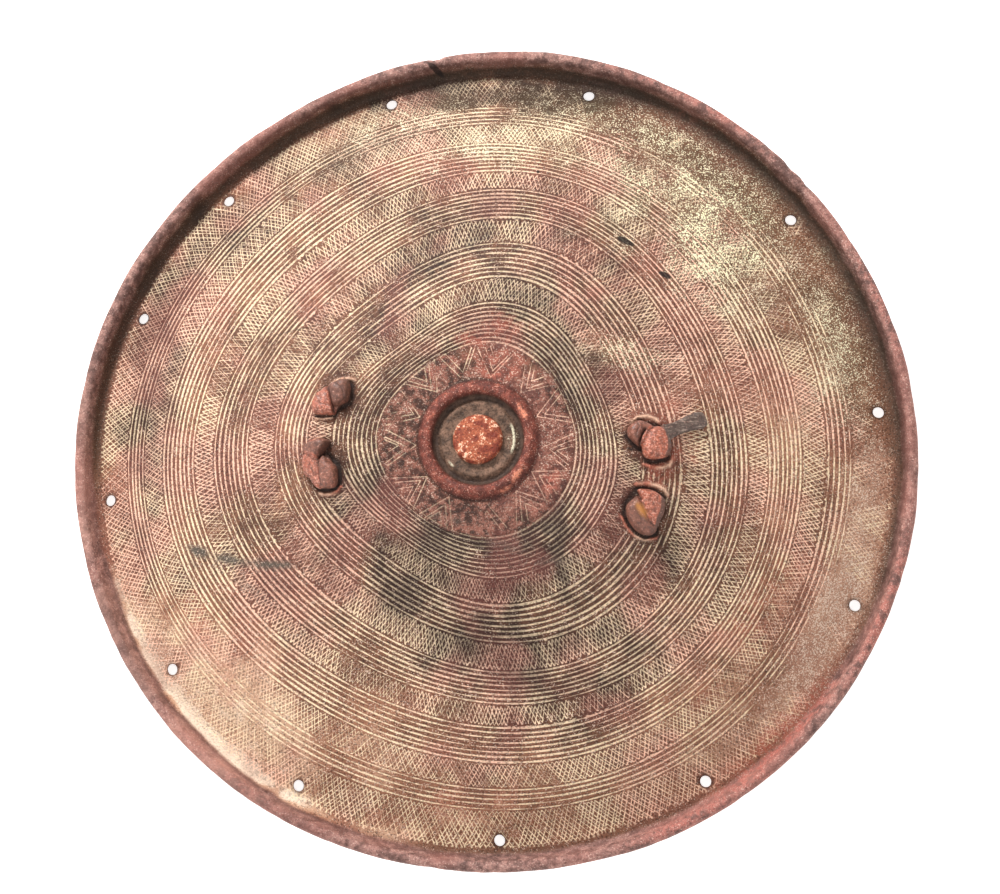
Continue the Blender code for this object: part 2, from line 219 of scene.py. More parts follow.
# Worked pattern, from the boss outward
rings = {
    # inner radius, outer radius, lines, points round
    "bands": ((0.0412, 0.0572, 10, 240), (0.0687, 0.0838, 8, 300), (0.0968, 0.1104, 8, 340),
              (0.1204, 0.1340, 8, 380), (0.1452, 0.1532, 5, 420)),
    "halfShare": 0.41,
    "depth": 0.00034,
    "wobble": 0.00014,
    "strength": (0.88, 1.08),
}
hatches = {
    # inner radius, outer radius, strokes each way round, rows of crossings
    "bands": ((0.0583, 0.0677, 270, 5), (0.0848, 0.0959, 360, 5), (0.1114, 0.1195, 440, 4),
              (0.1350, 0.1443, 500, 7), (0.1542, 0.1688, 540, 10)),
    "depth": 0.00032,
    "jitter": 0.30,
    "lean": 0.34,
    "leanMost": 0.6,
    "ground": -0.62,
}
chevrons = {
    "apexes": (21, 48, 79, 104, 131, 158, 184, 215, 243, 278, 306, 329, 352),
    "apexRadii": (0.0266, 0.0300, 0.0336),
    "foot": 0.0396,
    "halfAngles": (11.6, 8.0, 4.6),
    "halfWidth": 0.00044,
    "depth": 0.00028,
    "step": 0.0012,
    "edge": 0.0405,
    "groundRows": (0.0272, 0.0292, 0.0312, 0.0333, 0.0354, 0.0375, 0.0400),
    "groundPoints": 150,
}
openings = {
    "rimAngles": (6.5, 39, 76, 106.5, 135.5, 157.5, 185.5, 213, 239.5, 271.5, 303.5, 337.5),
    "rimInset": 0.0150,
    "rimHalf": 0.00228,
    "rimSides": 16,
    "slitHalfLong": 0.00455,
    "slitHalfShort": 0.0028,
    "slitSides": 26,
    "margin": 0.00036,
    "backGrow": 0.0009,
    "rimBackGrow": 0.00045,
    "rimBackShift": (-0.00065, 0.00086),
}
lacing = {
    "centre": (0.0030, -0.0046),
    "turn": -8.0,
    "span": 0.1355,
    "pitch": 0.0297,
    "pairTurns": (0.0, 6.6),
}


def slitPlaces():
    # Left upper, left lower, right upper, right lower: place, long axis, side
    turn = math.radians(lacing["turn"])
    along = Vector((math.cos(turn), math.sin(turn)))
    places = []
    for side, extra in zip((-1, 1), lacing["pairTurns"]):
        angle = turn + math.radians(extra) + math.pi / 2
        across = Vector((math.cos(angle), math.sin(angle)))
        middle = Vector(lacing["centre"]) + along * (side * lacing["span"] / 2)
        for row in (1, -1):
            places.append((middle + across * (row * lacing["pitch"] / 2), across, side))
    return places


def slitFrame(place, across):
    up = hideNormal(place.x, place.y)
    longAxis = Vector((across.x, across.y, 0))
    longAxis = (longAxis - up * longAxis.dot(up)).normalized()
    return longAxis, up.cross(longAxis), up


class Opening:
    # An oval through the hide, in plan; at the back it is wider and lies a little aside
    def __init__(self, centre, first, second, sides, backShift, backGrow):
        self.first, self.second, self.sides = first, second, sides
        self.spots = (centre, centre + backShift)
        self.grows = (0.0, backGrow)

    def points(self, back):
        spot, grow = self.spots[back], self.grows[back]
        first = 1 + grow / self.first.length
        second = 1 + grow / self.second.length
        return [spot + self.first * (first * math.cos(turn)) + self.second * (second * math.sin(turn))
                for turn in anglesRound(self.sides)]

    def share(self, x, y, back=False, margin=0.0):
        # Under 1 inside the oval
        dx, dy = x - self.spots[back].x, y - self.spots[back].y
        sizes = [(dx * axis.x + dy * axis.y) / axis.length / (axis.length + margin + self.grows[back])
                 for axis in (self.first, self.second)]
        return np.hypot(*sizes)


def makeOpenings():
    made = []
    for degrees in openings["rimAngles"]:
        angle = math.radians(degrees)
        reach = form["radius"] + float(swell(form["radius"], angle)) - openings["rimInset"]
        made.append(Opening(Vector(polar(reach, angle)), Vector((openings["rimHalf"], 0)),
                            Vector((0, openings["rimHalf"])), openings["rimSides"],
                            Vector(openings["rimBackShift"]), openings["rimBackGrow"]))
    for place, across, side in slits:
        longAxis, shortAxis, up = slitFrame(place, across)
        made.append(Opening(place, longAxis.xy * openings["slitHalfLong"],
                            shortAxis.xy * openings["slitHalfShort"], openings["slitSides"],
                            up.xy * -form["wall"], openings["backGrow"]))
    return made


slits = slitPlaces()
holes = makeOpenings()


class Plan:
    # Points and lines of one side of the hide, gathered before they are joined into triangles
    def __init__(self):
        self.rows = []
        self.lines = [np.zeros((0, 2), int)]
        self.count = 0

    def add(self, x, y, rho, cut=0.0, depth=0.0):
        size = len(x)
        self.rows.append(np.stack([np.broadcast_to(np.asarray(part, float), size)
                                   for part in (x, y, rho, cut, depth)]))
        self.count += size
        return np.arange(self.count - size, self.count)

    def join(self, first, second):
        self.lines.append(np.stack([first, second], 1))


# Where the working is rubbed away most, at the upper right and lower right: degrees, how narrow, radii where
# it starts, share gone, share more at the outside, and the cell, seed and range of its clouds
rubbedPlaces = (
    (58, 2, (0.132, 0.152), 0.30, 0.42, 0.011, 6, (0.15, 0.60)),
    (338, 5, (0.148, 0.157), 0.55, 0.0, 0.009, 7, (0.25, 0.60)),
)


def ringWear(x, y, rho, angle):
    # How much of the working is left
    left = 0.74 + 0.34 * stepUp(0.36, 0.56, softNoise(x, y, 0.024, 3))
    for degrees, narrow, start, gone, outside, cell, seed, clouds in rubbedPlaces:
        toward = np.clip(np.cos(angle - math.radians(degrees)), 0, 1) ** narrow * stepUp(*start, rho)
        gone = gone + outside * stepUp(0.150, 0.156, rho)
        left = left * (1 - gone * toward * stepUp(*clouds, softNoise(x, y, cell, seed)))
    for place, _, _ in slits:
        away = np.hypot(x - place.x, (y - place.y) * 0.9)
        left = left * (1 - 0.75 * (1 - stepUp(0.006, 0.0135, away)))
    return np.clip(left, 0.05, 1.0)


def addRingBands(plan):
    for band, (inner, outer, lines, points) in enumerate(rings["bands"]):
        angle = anglesRound(points)
        halfWidth = rings["halfShare"] * (outer - inner) / (lines - 1)
        for line in range(lines):
            strength = dice.uniform(*rings["strength"])
            middle = (inner + (outer - inner) * line / (lines - 1)
                      + waveAlong(angle, 100 * band + line, rings["wobble"]))
            for side in (-1, 0, 1):
                rho = middle + side * halfWidth * (1 + 0.12 * np.cos(5 * angle + line))
                x, y = drifted(rho, angle)
                cut = np.zeros(points)
                if side == 0:
                    uneven = np.clip(0.97 + 1.1 * (softNoise(x, y, 0.007, 20 + line) - 0.5), 0.78, 1.1)
                    cut = ringWear(x, y, rho, angle) * strength * uneven
                spots = plan.add(x, y, rho, cut, cut * rings["depth"])
                plan.join(spots, np.roll(spots, -1))


def addHatchBands(plan):
    # Straight strokes lean both ways and cross, so that low diamonds are left between them
    for band, (inner, outer, strokes, rows) in enumerate(hatches["bands"]):
        generator = np.random.default_rng(700 + band)
        pitch = fullTurn / strokes
        base = np.arange(strokes)
        lean = hatches["lean"] * waveAlong(pitch * base, 40 + band, 1.0, 2, 9, 5)
        lean = np.clip(lean, -hatches["leanMost"], hatches["leanMost"])
        travel = rows * pitch / 2
        startA, startB = (hatches["jitter"] * (2 * generator.random(strokes) - 1) for _ in range(2))
        slopeA, slopeB = (travel * (1 + way * lean + 0.05 * (2 * generator.random(strokes) - 1))
                          for way in (1, -1))
        strengthA, strengthB = (0.62 + 0.38 * generator.random(strokes) for _ in range(2))
        lattice, crossings = [], []
        for row in range(rows + 1):
            other = (base + row) % strokes
            share = pitch * (row + startB[other] - startA) / (slopeA + slopeB[other])
            share = np.clip(share, 0.0, 1.0)
            angle = pitch * (base + startA) + slopeA * share
            rho = inner + (outer - inner) * share
            x, y = drifted(rho, angle)
            left = ringWear(x, y, rho, angle) * np.maximum(strengthA, strengthB[other])
            crossings.append(plan.add(x, y, rho, left, left * hatches["depth"]))
            lattice.append(np.stack([x, y, rho]))
        for lower, upper in zip(crossings, crossings[1:]):
            plan.join(lower, upper)
            plan.join(np.roll(lower, -1), upper)
        beside = [np.roll(row, -1, axis=1) for row in lattice]
        for row in (0, rows):
            plan.add(*(lattice[row] + beside[row]) / 2, hatches["ground"] / 2)
        for row in range(1, rows):
            middle = (beside[row - 1] + lattice[row + 1] + lattice[row] + beside[row]) / 4
            plan.add(*middle, hatches["ground"])


def addChevrons(plan):
    # Nested arrow heads round the boss, their points toward it
    strokes = []
    for apex in chevrons["apexes"]:
        nest = 3 if dice.random() < 0.75 else 2
        for radius, half in list(zip(chevrons["apexRadii"], chevrons["halfAngles"]))[:nest]:
            turn = math.radians(apex + dice.uniform(-0.8, 0.8))
            top = Vector(polar(1.0, turn)) * (radius + dice.uniform(-0.0005, 0.0005))
            for side in (-1, 1):
                end = turn + side * math.radians(half + dice.uniform(-0.7, 0.7))
                foot = Vector(polar(1.0, end)) * (chevrons["foot"] + dice.uniform(-0.0006, 0.0004))
                strokes.append((top, foot))
    for top, foot in strokes:
        run = foot - top
        count = max(3, round(run.length / chevrons["step"]))
        across = Vector((-run.y, run.x)).normalized() * chevrons["halfWidth"]
        for side in (0, -1, 1):
            line = [top + run * (k / count) + across * side for k in range(count + 1)]
            x, y = np.array([spot[:] for spot in line]).T
            cut = float(side == 0)
            spots = plan.add(x, y, np.hypot(x, y), cut, cut * chevrons["depth"])
            if side == 0:
                plan.join(spots[:-1], spots[1:])
    for rho in chevrons["groundRows"]:
        plan.add(*polar(rho, anglesRound(chevrons["groundPoints"])), rho)
    return strokes


def clearOf(x, y, back, least=None, margin=0.0):
    # True outside every opening
    clear = np.ones(len(x), bool)
    for hole in holes:
        clear &= hole.share(x, y, back, margin) > (least or math.cos(math.pi / hole.sides))
    return clear


def triangulate(plan, innerLoop, outerLoop, back=False):
    # Leaves out the points in the openings, joins the rest, and drops the triangles outside
    x, y, rho, cut, depth = np.concatenate(plan.rows, axis=1)
    lines = np.concatenate(plan.lines)
    keep = clearOf(x, y, back, 1, openings["margin"])
    clear = keep[lines].all(1)
    for part in (0.25, 0.5, 0.75):
        along = [spots[lines[:, 0]] * (1 - part) + spots[lines[:, 1]] * part for spots in (x, y)]
        clear &= clearOf(*along, back, 1.04)
    edges = [tuple(pair) for pair in (np.cumsum(keep) - 1)[lines[clear]].tolist()]
    points = [Vector(pair) for pair in zip(x[keep].tolist(), y[keep].tolist())]
    known = len(points)
    marks = []
    for ring in [hole.points(back) for hole in holes] + [innerLoop, outerLoop]:
        base = len(points)
        marks.append(range(base, base + len(ring)))
        points += ring
        edges += [(base + k, base + (k + 1) % len(ring)) for k in range(len(ring))]
    extraX, extraY = np.array([spot[:] for spot in points[known:]]).T
    extraRho = undo(drift, np.hypot(extraX, extraY), np.arctan2(extraY, extraX))
    rho = np.concatenate([rho[keep], extraRho])
    cut, depth = (np.concatenate([part[keep], np.zeros(len(extraX))]) for part in (cut, depth))

    made, _, faces, origins, _, _ = delaunay_2d_cdt(points, edges, [], 0, 1e-8)
    x, y = np.array([spot[:] for spot in made]).T
    tone = np.stack([np.hypot(x, y), np.zeros(len(x)), np.zeros(len(x))])
    place = {}
    for index, origin in enumerate(origins):
        if origin:
            tone[:, index] = rho[origin[0]], max(cut[k] for k in origin), max(depth[k] for k in origin)
            place.update((k, index) for k in origin)
    triangles = np.array(faces, int)
    midX, midY = x[triangles].mean(1), y[triangles].mean(1)
    good = clearOf(midX, midY, back)
    sides = [np.array([place[k] for k in mark], int) for mark in marks]
    for ring, wanted in ((sides[-2], False), (sides[-1], True)):
        if len(ring):
            border = np.interp(np.arctan2(midY, midX), np.arctan2(y[ring], x[ring]),
                               np.hypot(x[ring], y[ring]), period=fullTurn)
            good &= (np.hypot(midX, midY) < border) == wanted
    triangles = triangles[good]
    corners = np.stack([x, y])[:, triangles]
    (ax, ay), (bx, by) = corners[:, :, 1] - corners[:, :, 0], corners[:, :, 2] - corners[:, :, 0]
    turn = ax * by - bx * ay
    triangles[turn < 0] = triangles[turn < 0][:, ::-1]
    return x, y, *tone, triangles[np.abs(turn) > 1e-16], sides


class Surface:
    # Points with their values, and faces, of one closed mesh
    def __init__(self, names):
        self.points, self.faces, self.count = [], [], 0
        self.values = {name: [] for name in names}

    def add(self, x, y, z, **values):
        size = len(x)
        self.points.append(np.stack([x, y, np.broadcast_to(z, size)], 1))
        for name, parts in self.values.items():
            parts.append(np.broadcast_to(np.asarray(values.get(name, 0.0), float), size))
        self.count += size
        return np.arange(self.count - size, self.count)

    def bridge(self, first, second):
        # Quads between two closed loops of the same length
        self.faces += np.stack([first, np.roll(first, -1), np.roll(second, -1), second], 1).tolist()


def readPoints(mesh, name="co"):
    values = np.zeros(len(mesh.vertices) * 3)
    mesh.vertices.foreach_get(name, values)
    return values.reshape(-1, 3)


def addValues(mesh, values):
    for name, numbers in values.items():
        layer = mesh.attributes.new(name, "FLOAT", "POINT")
        layer.data.foreach_set("value", numbers.astype(np.float32))


boss = {
    # radius and height of the turned section in millimetres, from the middle outward
    "rows": ((2.0, 62.3), (4.0, 62.3), (5.8, 62.25), (7.6, 62.15), (8.9, 61.95), (9.7, 61.6), (10.2, 61.0),
             (10.5, 60.1), (10.8, 59.3), (11.3, 58.95), (11.9, 59.1), (12.5, 58.95), (13.2, 59.15),
             (13.8, 59.0), (14.4, 59.25), (14.9, 59.3), (15.4, 59.25), (16.0, 58.7), (16.7, 58.0),
             (17.5, 57.65), (18.3, 57.7), (18.9, 58.3), (19.3, 59.4), (19.7, 60.5), (20.3, 61.3),
             (21.1, 61.7), (22.0, 61.76), (22.9, 61.5), (23.7, 60.9), (24.5, 60.1), (25.2, 59.3)),
    "edge": (26.0, 58.5),
    "discCrown": 8,
    "discEdge": (9.6, 10.6),
    "ringInside": (18.5, 20.2),
    "ringOutside": (24.8, 26.0),
    "points": 120,
    "ringWander": 0.00018,
    "ringHeights": 0.00034,
    "discWander": 0.00010,
    "dents": 0.0005,
    "grain": 0.0002,
}
rim = {
    "points": 480,
    "lean": 65.0,
    "rise": 0.008,
    "frontSteps": (0.0, 0.14, 0.28, 0.42, 0.56, 0.7, 0.85, 1.0),
    "lipSteps": 8,
    "backSteps": (1.0, 0.82, 0.64, 0.46),
    "restOut": 0.002,
    "restIn": 0.001,
    "uneven": 0.00022,
    # Folds and dents of the lip: degrees, width in degrees, height
    "folds": ((39.5, 1.2, 0.0002), (41.0, 0.5, -0.0004), (42.6, 1.0, 0.0003), (44.6, 0.45, -0.0004),
              (46.2, 1.2, 0.0003), (50.5, 1.6, 0.0002), (98.6, 0.7, -0.0009), (12.0, 2.0, 0.0002),
              (262.0, 1.2, -0.0003)),
}
# Slow unevenness of a hide moulded by hand: cell, height and seed; and how it sinks round the rim holes
uneven = {
    "front": ((0.030, 0.0005, 11), (0.007, 0.0002, 12)),
    "back": (0.016, 0.0006, 51),
    "besideKnots": 0.0004,
    "holeSink": 0.00035,
    "holeReach": 0.0009,
}
backRows = {"first": 0.012, "last": 0.163, "count": 26, "fewest": 60, "more": 110}


def bezierRun(points, t):
    a, b, c, d = points
    return ((b - a) * (1 - t) ** 2 + (c - b) * (2 * (1 - t) * t) + (d - c) * (t * t)).normalized()


def rimSection():
    # From the valley up the front, round the lip and down the back to the ring that it lies on
    wall = form["wall"]
    lean = Vector(polar(1.0, math.radians(rim["lean"])))
    centre = Vector((form["radius"] - wall / 2, wall / 2 + rim["rise"]))
    start = Vector((form["valley"], wall))
    end = centre - Vector((lean.y, -lean.x)) * wall / 2
    curve = (start, start + Vector((0.5 * (end.x - start.x), 0)), end - lean * 0.4 * rim["rise"], end)
    rows = []
    for t in rim["frontSteps"]:
        run = bezierRun(curve, t)
        rows.append((bezier(curve, t), Vector((-run.y, run.x))))
    for step in range(1, rim["lipSteps"]):
        out = Vector(polar(1.0, math.pi / 2 + math.radians(rim["lean"]) - math.pi * step / rim["lipSteps"]))
        rows.append((centre + out * wall / 2, out))
    for t in rim["backSteps"]:
        run = bezierRun(curve, t)
        out = Vector((run.y, -run.x))
        rows.append((bezier(curve, t) + out * wall, out))
    for reach in (rim["restOut"], -rim["restIn"]):
        rows.append((Vector((form["valley"] + reach, 0)), Vector((0, 0))))
    return rows


def addFront(surface):
    plan = Plan()
    addRingBands(plan)
    addHatchBands(plan)
    strokes = addChevrons(plan)
    addKnotPoints(plan)
    innerLoop = [Vector(pair) for pair in zip(*polar(boss["edge"][0] * mm, anglesRound(boss["points"])))]
    valley = np.full(rim["points"], form["valley"])
    outerLoop = [Vector(pair) for pair in zip(*drifted(valley, anglesRound(rim["points"])))]
    x, y, rho, cut, depth, triangles, sides = triangulate(plan, innerLoop, outerLoop)
    print("front of the hide:", len(x), "points,", len(triangles), "triangles")

    # Chevron strokes cross here and there, so their depth comes from the distance to a stroke
    near = rho < chevrons["edge"]
    away = np.min([lineDistance(x[near], y[near], stroke) for stroke in strokes], axis=0)
    left = np.clip(0.38 + 1.7 * (softNoise(x[near], y[near], 0.008, 8) - 0.2), 0.2, 0.95)
    cut[near] = np.clip(1 - away / chevrons["halfWidth"], 0, 1) * left
    depth[near] = cut[near] * chevrons["depth"]

    z = formHeight(x, y) - depth
    middle = stepUp(0.03, 0.06, rho) * (1 - stepUp(0.150, 0.168, rho))
    for cell, height, seed in uneven["front"]:
        z += middle * height * (valueNoise(x, y, cell, seed) - 0.5)
    rise, lip, gap = nearKnots(x, y)
    z += rise - uneven["besideKnots"] * gap
    sunk = np.zeros(len(x))
    for hole in holes[:len(openings["rimAngles"])]:
        away = (hole.share(x, y) - 1) * openings["rimHalf"]
        sunk = np.maximum(sunk, np.exp(-(np.clip(away, 0, 1) / uneven["holeReach"]) ** 2))
    z -= uneven["holeSink"] * sunk
    z[sides[-2]] = boss["edge"][1] * mm
    # Painted shade also lies in the dips round the rim holes
    surface.add(x, y, z, cut=cut, rho=rho, lip=lip, gap=np.maximum(gap, 0.75 * sunk))
    surface.faces += triangles.tolist()
    return sides


def addBoss(surface, edge):
    # Turned rows of a flat disc and an uneven ring, radii in millimetres
    angle = anglesRound(boss["points"])
    previous = None
    for radius, height in boss["rows"]:
        onRing = stepUp(*boss["ringInside"], radius) * (1 - stepUp(*boss["ringOutside"], radius))
        onDisc = 1 - stepUp(*boss["discEdge"], radius)
        r = radius * mm + onRing * waveAlong(angle, 7, boss["ringWander"], 2, 8, 5)
        if radius > boss["discCrown"]:
            r = r + boss["discWander"] * onDisc * waveAlong(angle, 9, 1.0, 2, 7, 4)
        x, y = polar(r, angle)
        z = height * mm + onRing * waveAlong(angle, 8, boss["ringHeights"], 2, 9, 6)
        z = z + (onRing + onDisc) * boss["dents"] * (valueNoise(x, y, 0.0022, 21) - 0.5)
        z = z + boss["grain"] * (valueNoise(x, y, 0.0011, 22) - 0.5)
        row = surface.add(x, y, z, rho=r)
        if previous is None:
            centre = int(surface.add([0.0], [0.0], boss["rows"][0][1] * mm)[0])
            surface.faces += [(centre, a, b) for a, b in zip(row.tolist(), np.roll(row, -1).tolist())]
        else:
            surface.bridge(row, previous)
        previous = row
    surface.bridge(edge, previous)


def addRim(surface, previous):
    # Turned rows with dents, and folds at the upper right
    angle = anglesRound(rim["points"])
    section = rimSection()
    fold = 0.0
    for degrees, width, size in rim["folds"]:
        fold = fold + size * np.exp(-((np.degrees(angle) - degrees) / width) ** 2)
    for index, (spot, out) in enumerate(section[1:], 1):
        last = index >= len(section) - 2
        rows = np.full(len(angle), index * 0.0012)
        dent = rim["uneven"] * (waveAlong(angle, 300, 0.8, 9, 40, 8)
                                + 1.2 * (valueNoise(angle * form["radius"], rows, 0.0045, 31) - 0.5))
        push = 0.0 if last else dent + fold * stepUp(0.004, 0.011, spot.y)
        x, y = polar(spot.x + out.x * push + drift(spot.x, angle), angle)
        row = surface.add(x, y, spot.y + out.y * push, rho=spot.x, back=out.y < -0.3 or last)
        surface.bridge(row, previous)
        previous = row
    return previous


def addBack(surface, restEdge):
    # Plain, with the same openings, out to the ring that the shield lies on
    plan = Plan()
    for step, rho in enumerate(np.linspace(backRows["first"], backRows["last"], backRows["count"])):
        count = round(backRows["fewest"] + backRows["more"] * rho / backRows["last"])
        plan.add(*drifted(rho, anglesRound(count) + fullTurn * 0.5 * (step % 2) / count), rho)
    plan.add([0.0], [0.0], 0.0)
    outerLoop = [Vector(spot[:2]) for spot in surface.points[-1]]
    x, y, rho, _, _, triangles, sides = triangulate(plan, [], outerLoop, True)
    cell, height, seed = uneven["back"]
    z = backHeight(x, y) + height * (valueNoise(x, y, cell, seed) - 0.5) * (1 - stepUp(0.150, 0.162, rho))
    z[sides[-1]] = 0.0
    spots = surface.add(x, y, z, rho=rho, back=1.0)
    spots[sides[-1]] = restEdge
    surface.faces += spots[triangles[:, ::-1]].tolist()
    return [spots[side] for side in sides[:-2]]


def makeHide():
    surface = Surface(("cut", "rho", "lip", "gap", "back"))
    fronts = addFront(surface)
    addBoss(surface, fronts[-2])
    rears = addBack(surface, addRim(surface, fronts[-1]))
    for front, rear in zip(fronts, rears):
        surface.bridge(rear, front)
    mesh = bpy.data.meshes.new("hide")
    mesh.from_pydata((np.concatenate(surface.points) + (*form["axis"], 0.0)).tolist(), [], surface.faces)
    addValues(mesh, {name: np.concatenate(parts) for name, parts in surface.values.items()})
    return mesh


def finishMesh(mesh, name, sharpDegrees):
    # Drops unused points, turns every face outward and smooths all but hard edges
    work = bmesh.new()
    work.from_mesh(mesh)
    loose = [v for v in work.verts if not v.link_faces]
    bmesh.ops.delete(work, geom=loose, context="VERTS")
    bmesh.ops.recalc_face_normals(work, faces=work.faces)
    openEdges = sum(len(e.link_faces) != 2 for e in work.edges)
    volume = work.calc_volume(signed=True)
    if volume < 0:
        bmesh.ops.reverse_faces(work, faces=work.faces)
    work.to_mesh(mesh)
    count = sum(len(f.verts) - 2 for f in work.faces)
    work.free()
    mesh.shade_smooth()
    mesh.set_sharp_from_angle(angle=math.radians(sharpDegrees))
    piece = bpy.data.objects.new(name, mesh)
    bpy.context.scene.collection.objects.link(piece)
    print(name, count, "triangles,", openEdges, "open edges, volume", round(volume * 1e6, 2), "cm3")
    return piece


grip = {
    "centre": (0.0030, -0.0046, 0.02166),
    "length": 0.104,
    "thongWidth": 0.0085,
    "thongThickness": 0.005,
    "bend": 0.015,
    "join": 0.86,
    # half of the bar: share of the half length, width, thickness
    "bar": ((0.0, 0.0216, 0.0078), (0.2, 0.0218, 0.0080), (0.45, 0.0222, 0.0081), (0.6, 0.0220, 0.0080),
            (0.74, 0.0208, 0.0075), (0.86, 0.0196, 0.0068), (0.95, 0.0180, 0.0058), (1.0, 0.0160, 0.0044)),
    "barSides": 24,
    "thongSides": 16,
    "thongSteps": 18,
    # Plain middle of each knot, under its lobes: half length, half width, height, and where, in millimetres
    "core": (5.6, 3.7, 2.6, (0.3, -0.4)),
    "voxel": 0.00042,
    "plainTint": 0.12,
    # cell, height and seed of the fine wrinkles, and how the height above the hide moves them aside
    "wrinkles": ((0.0016, 0.00030, 61, 0.7, -0.4), (0.0008, 0.00014, 62, -0.3, 0.8)),
}
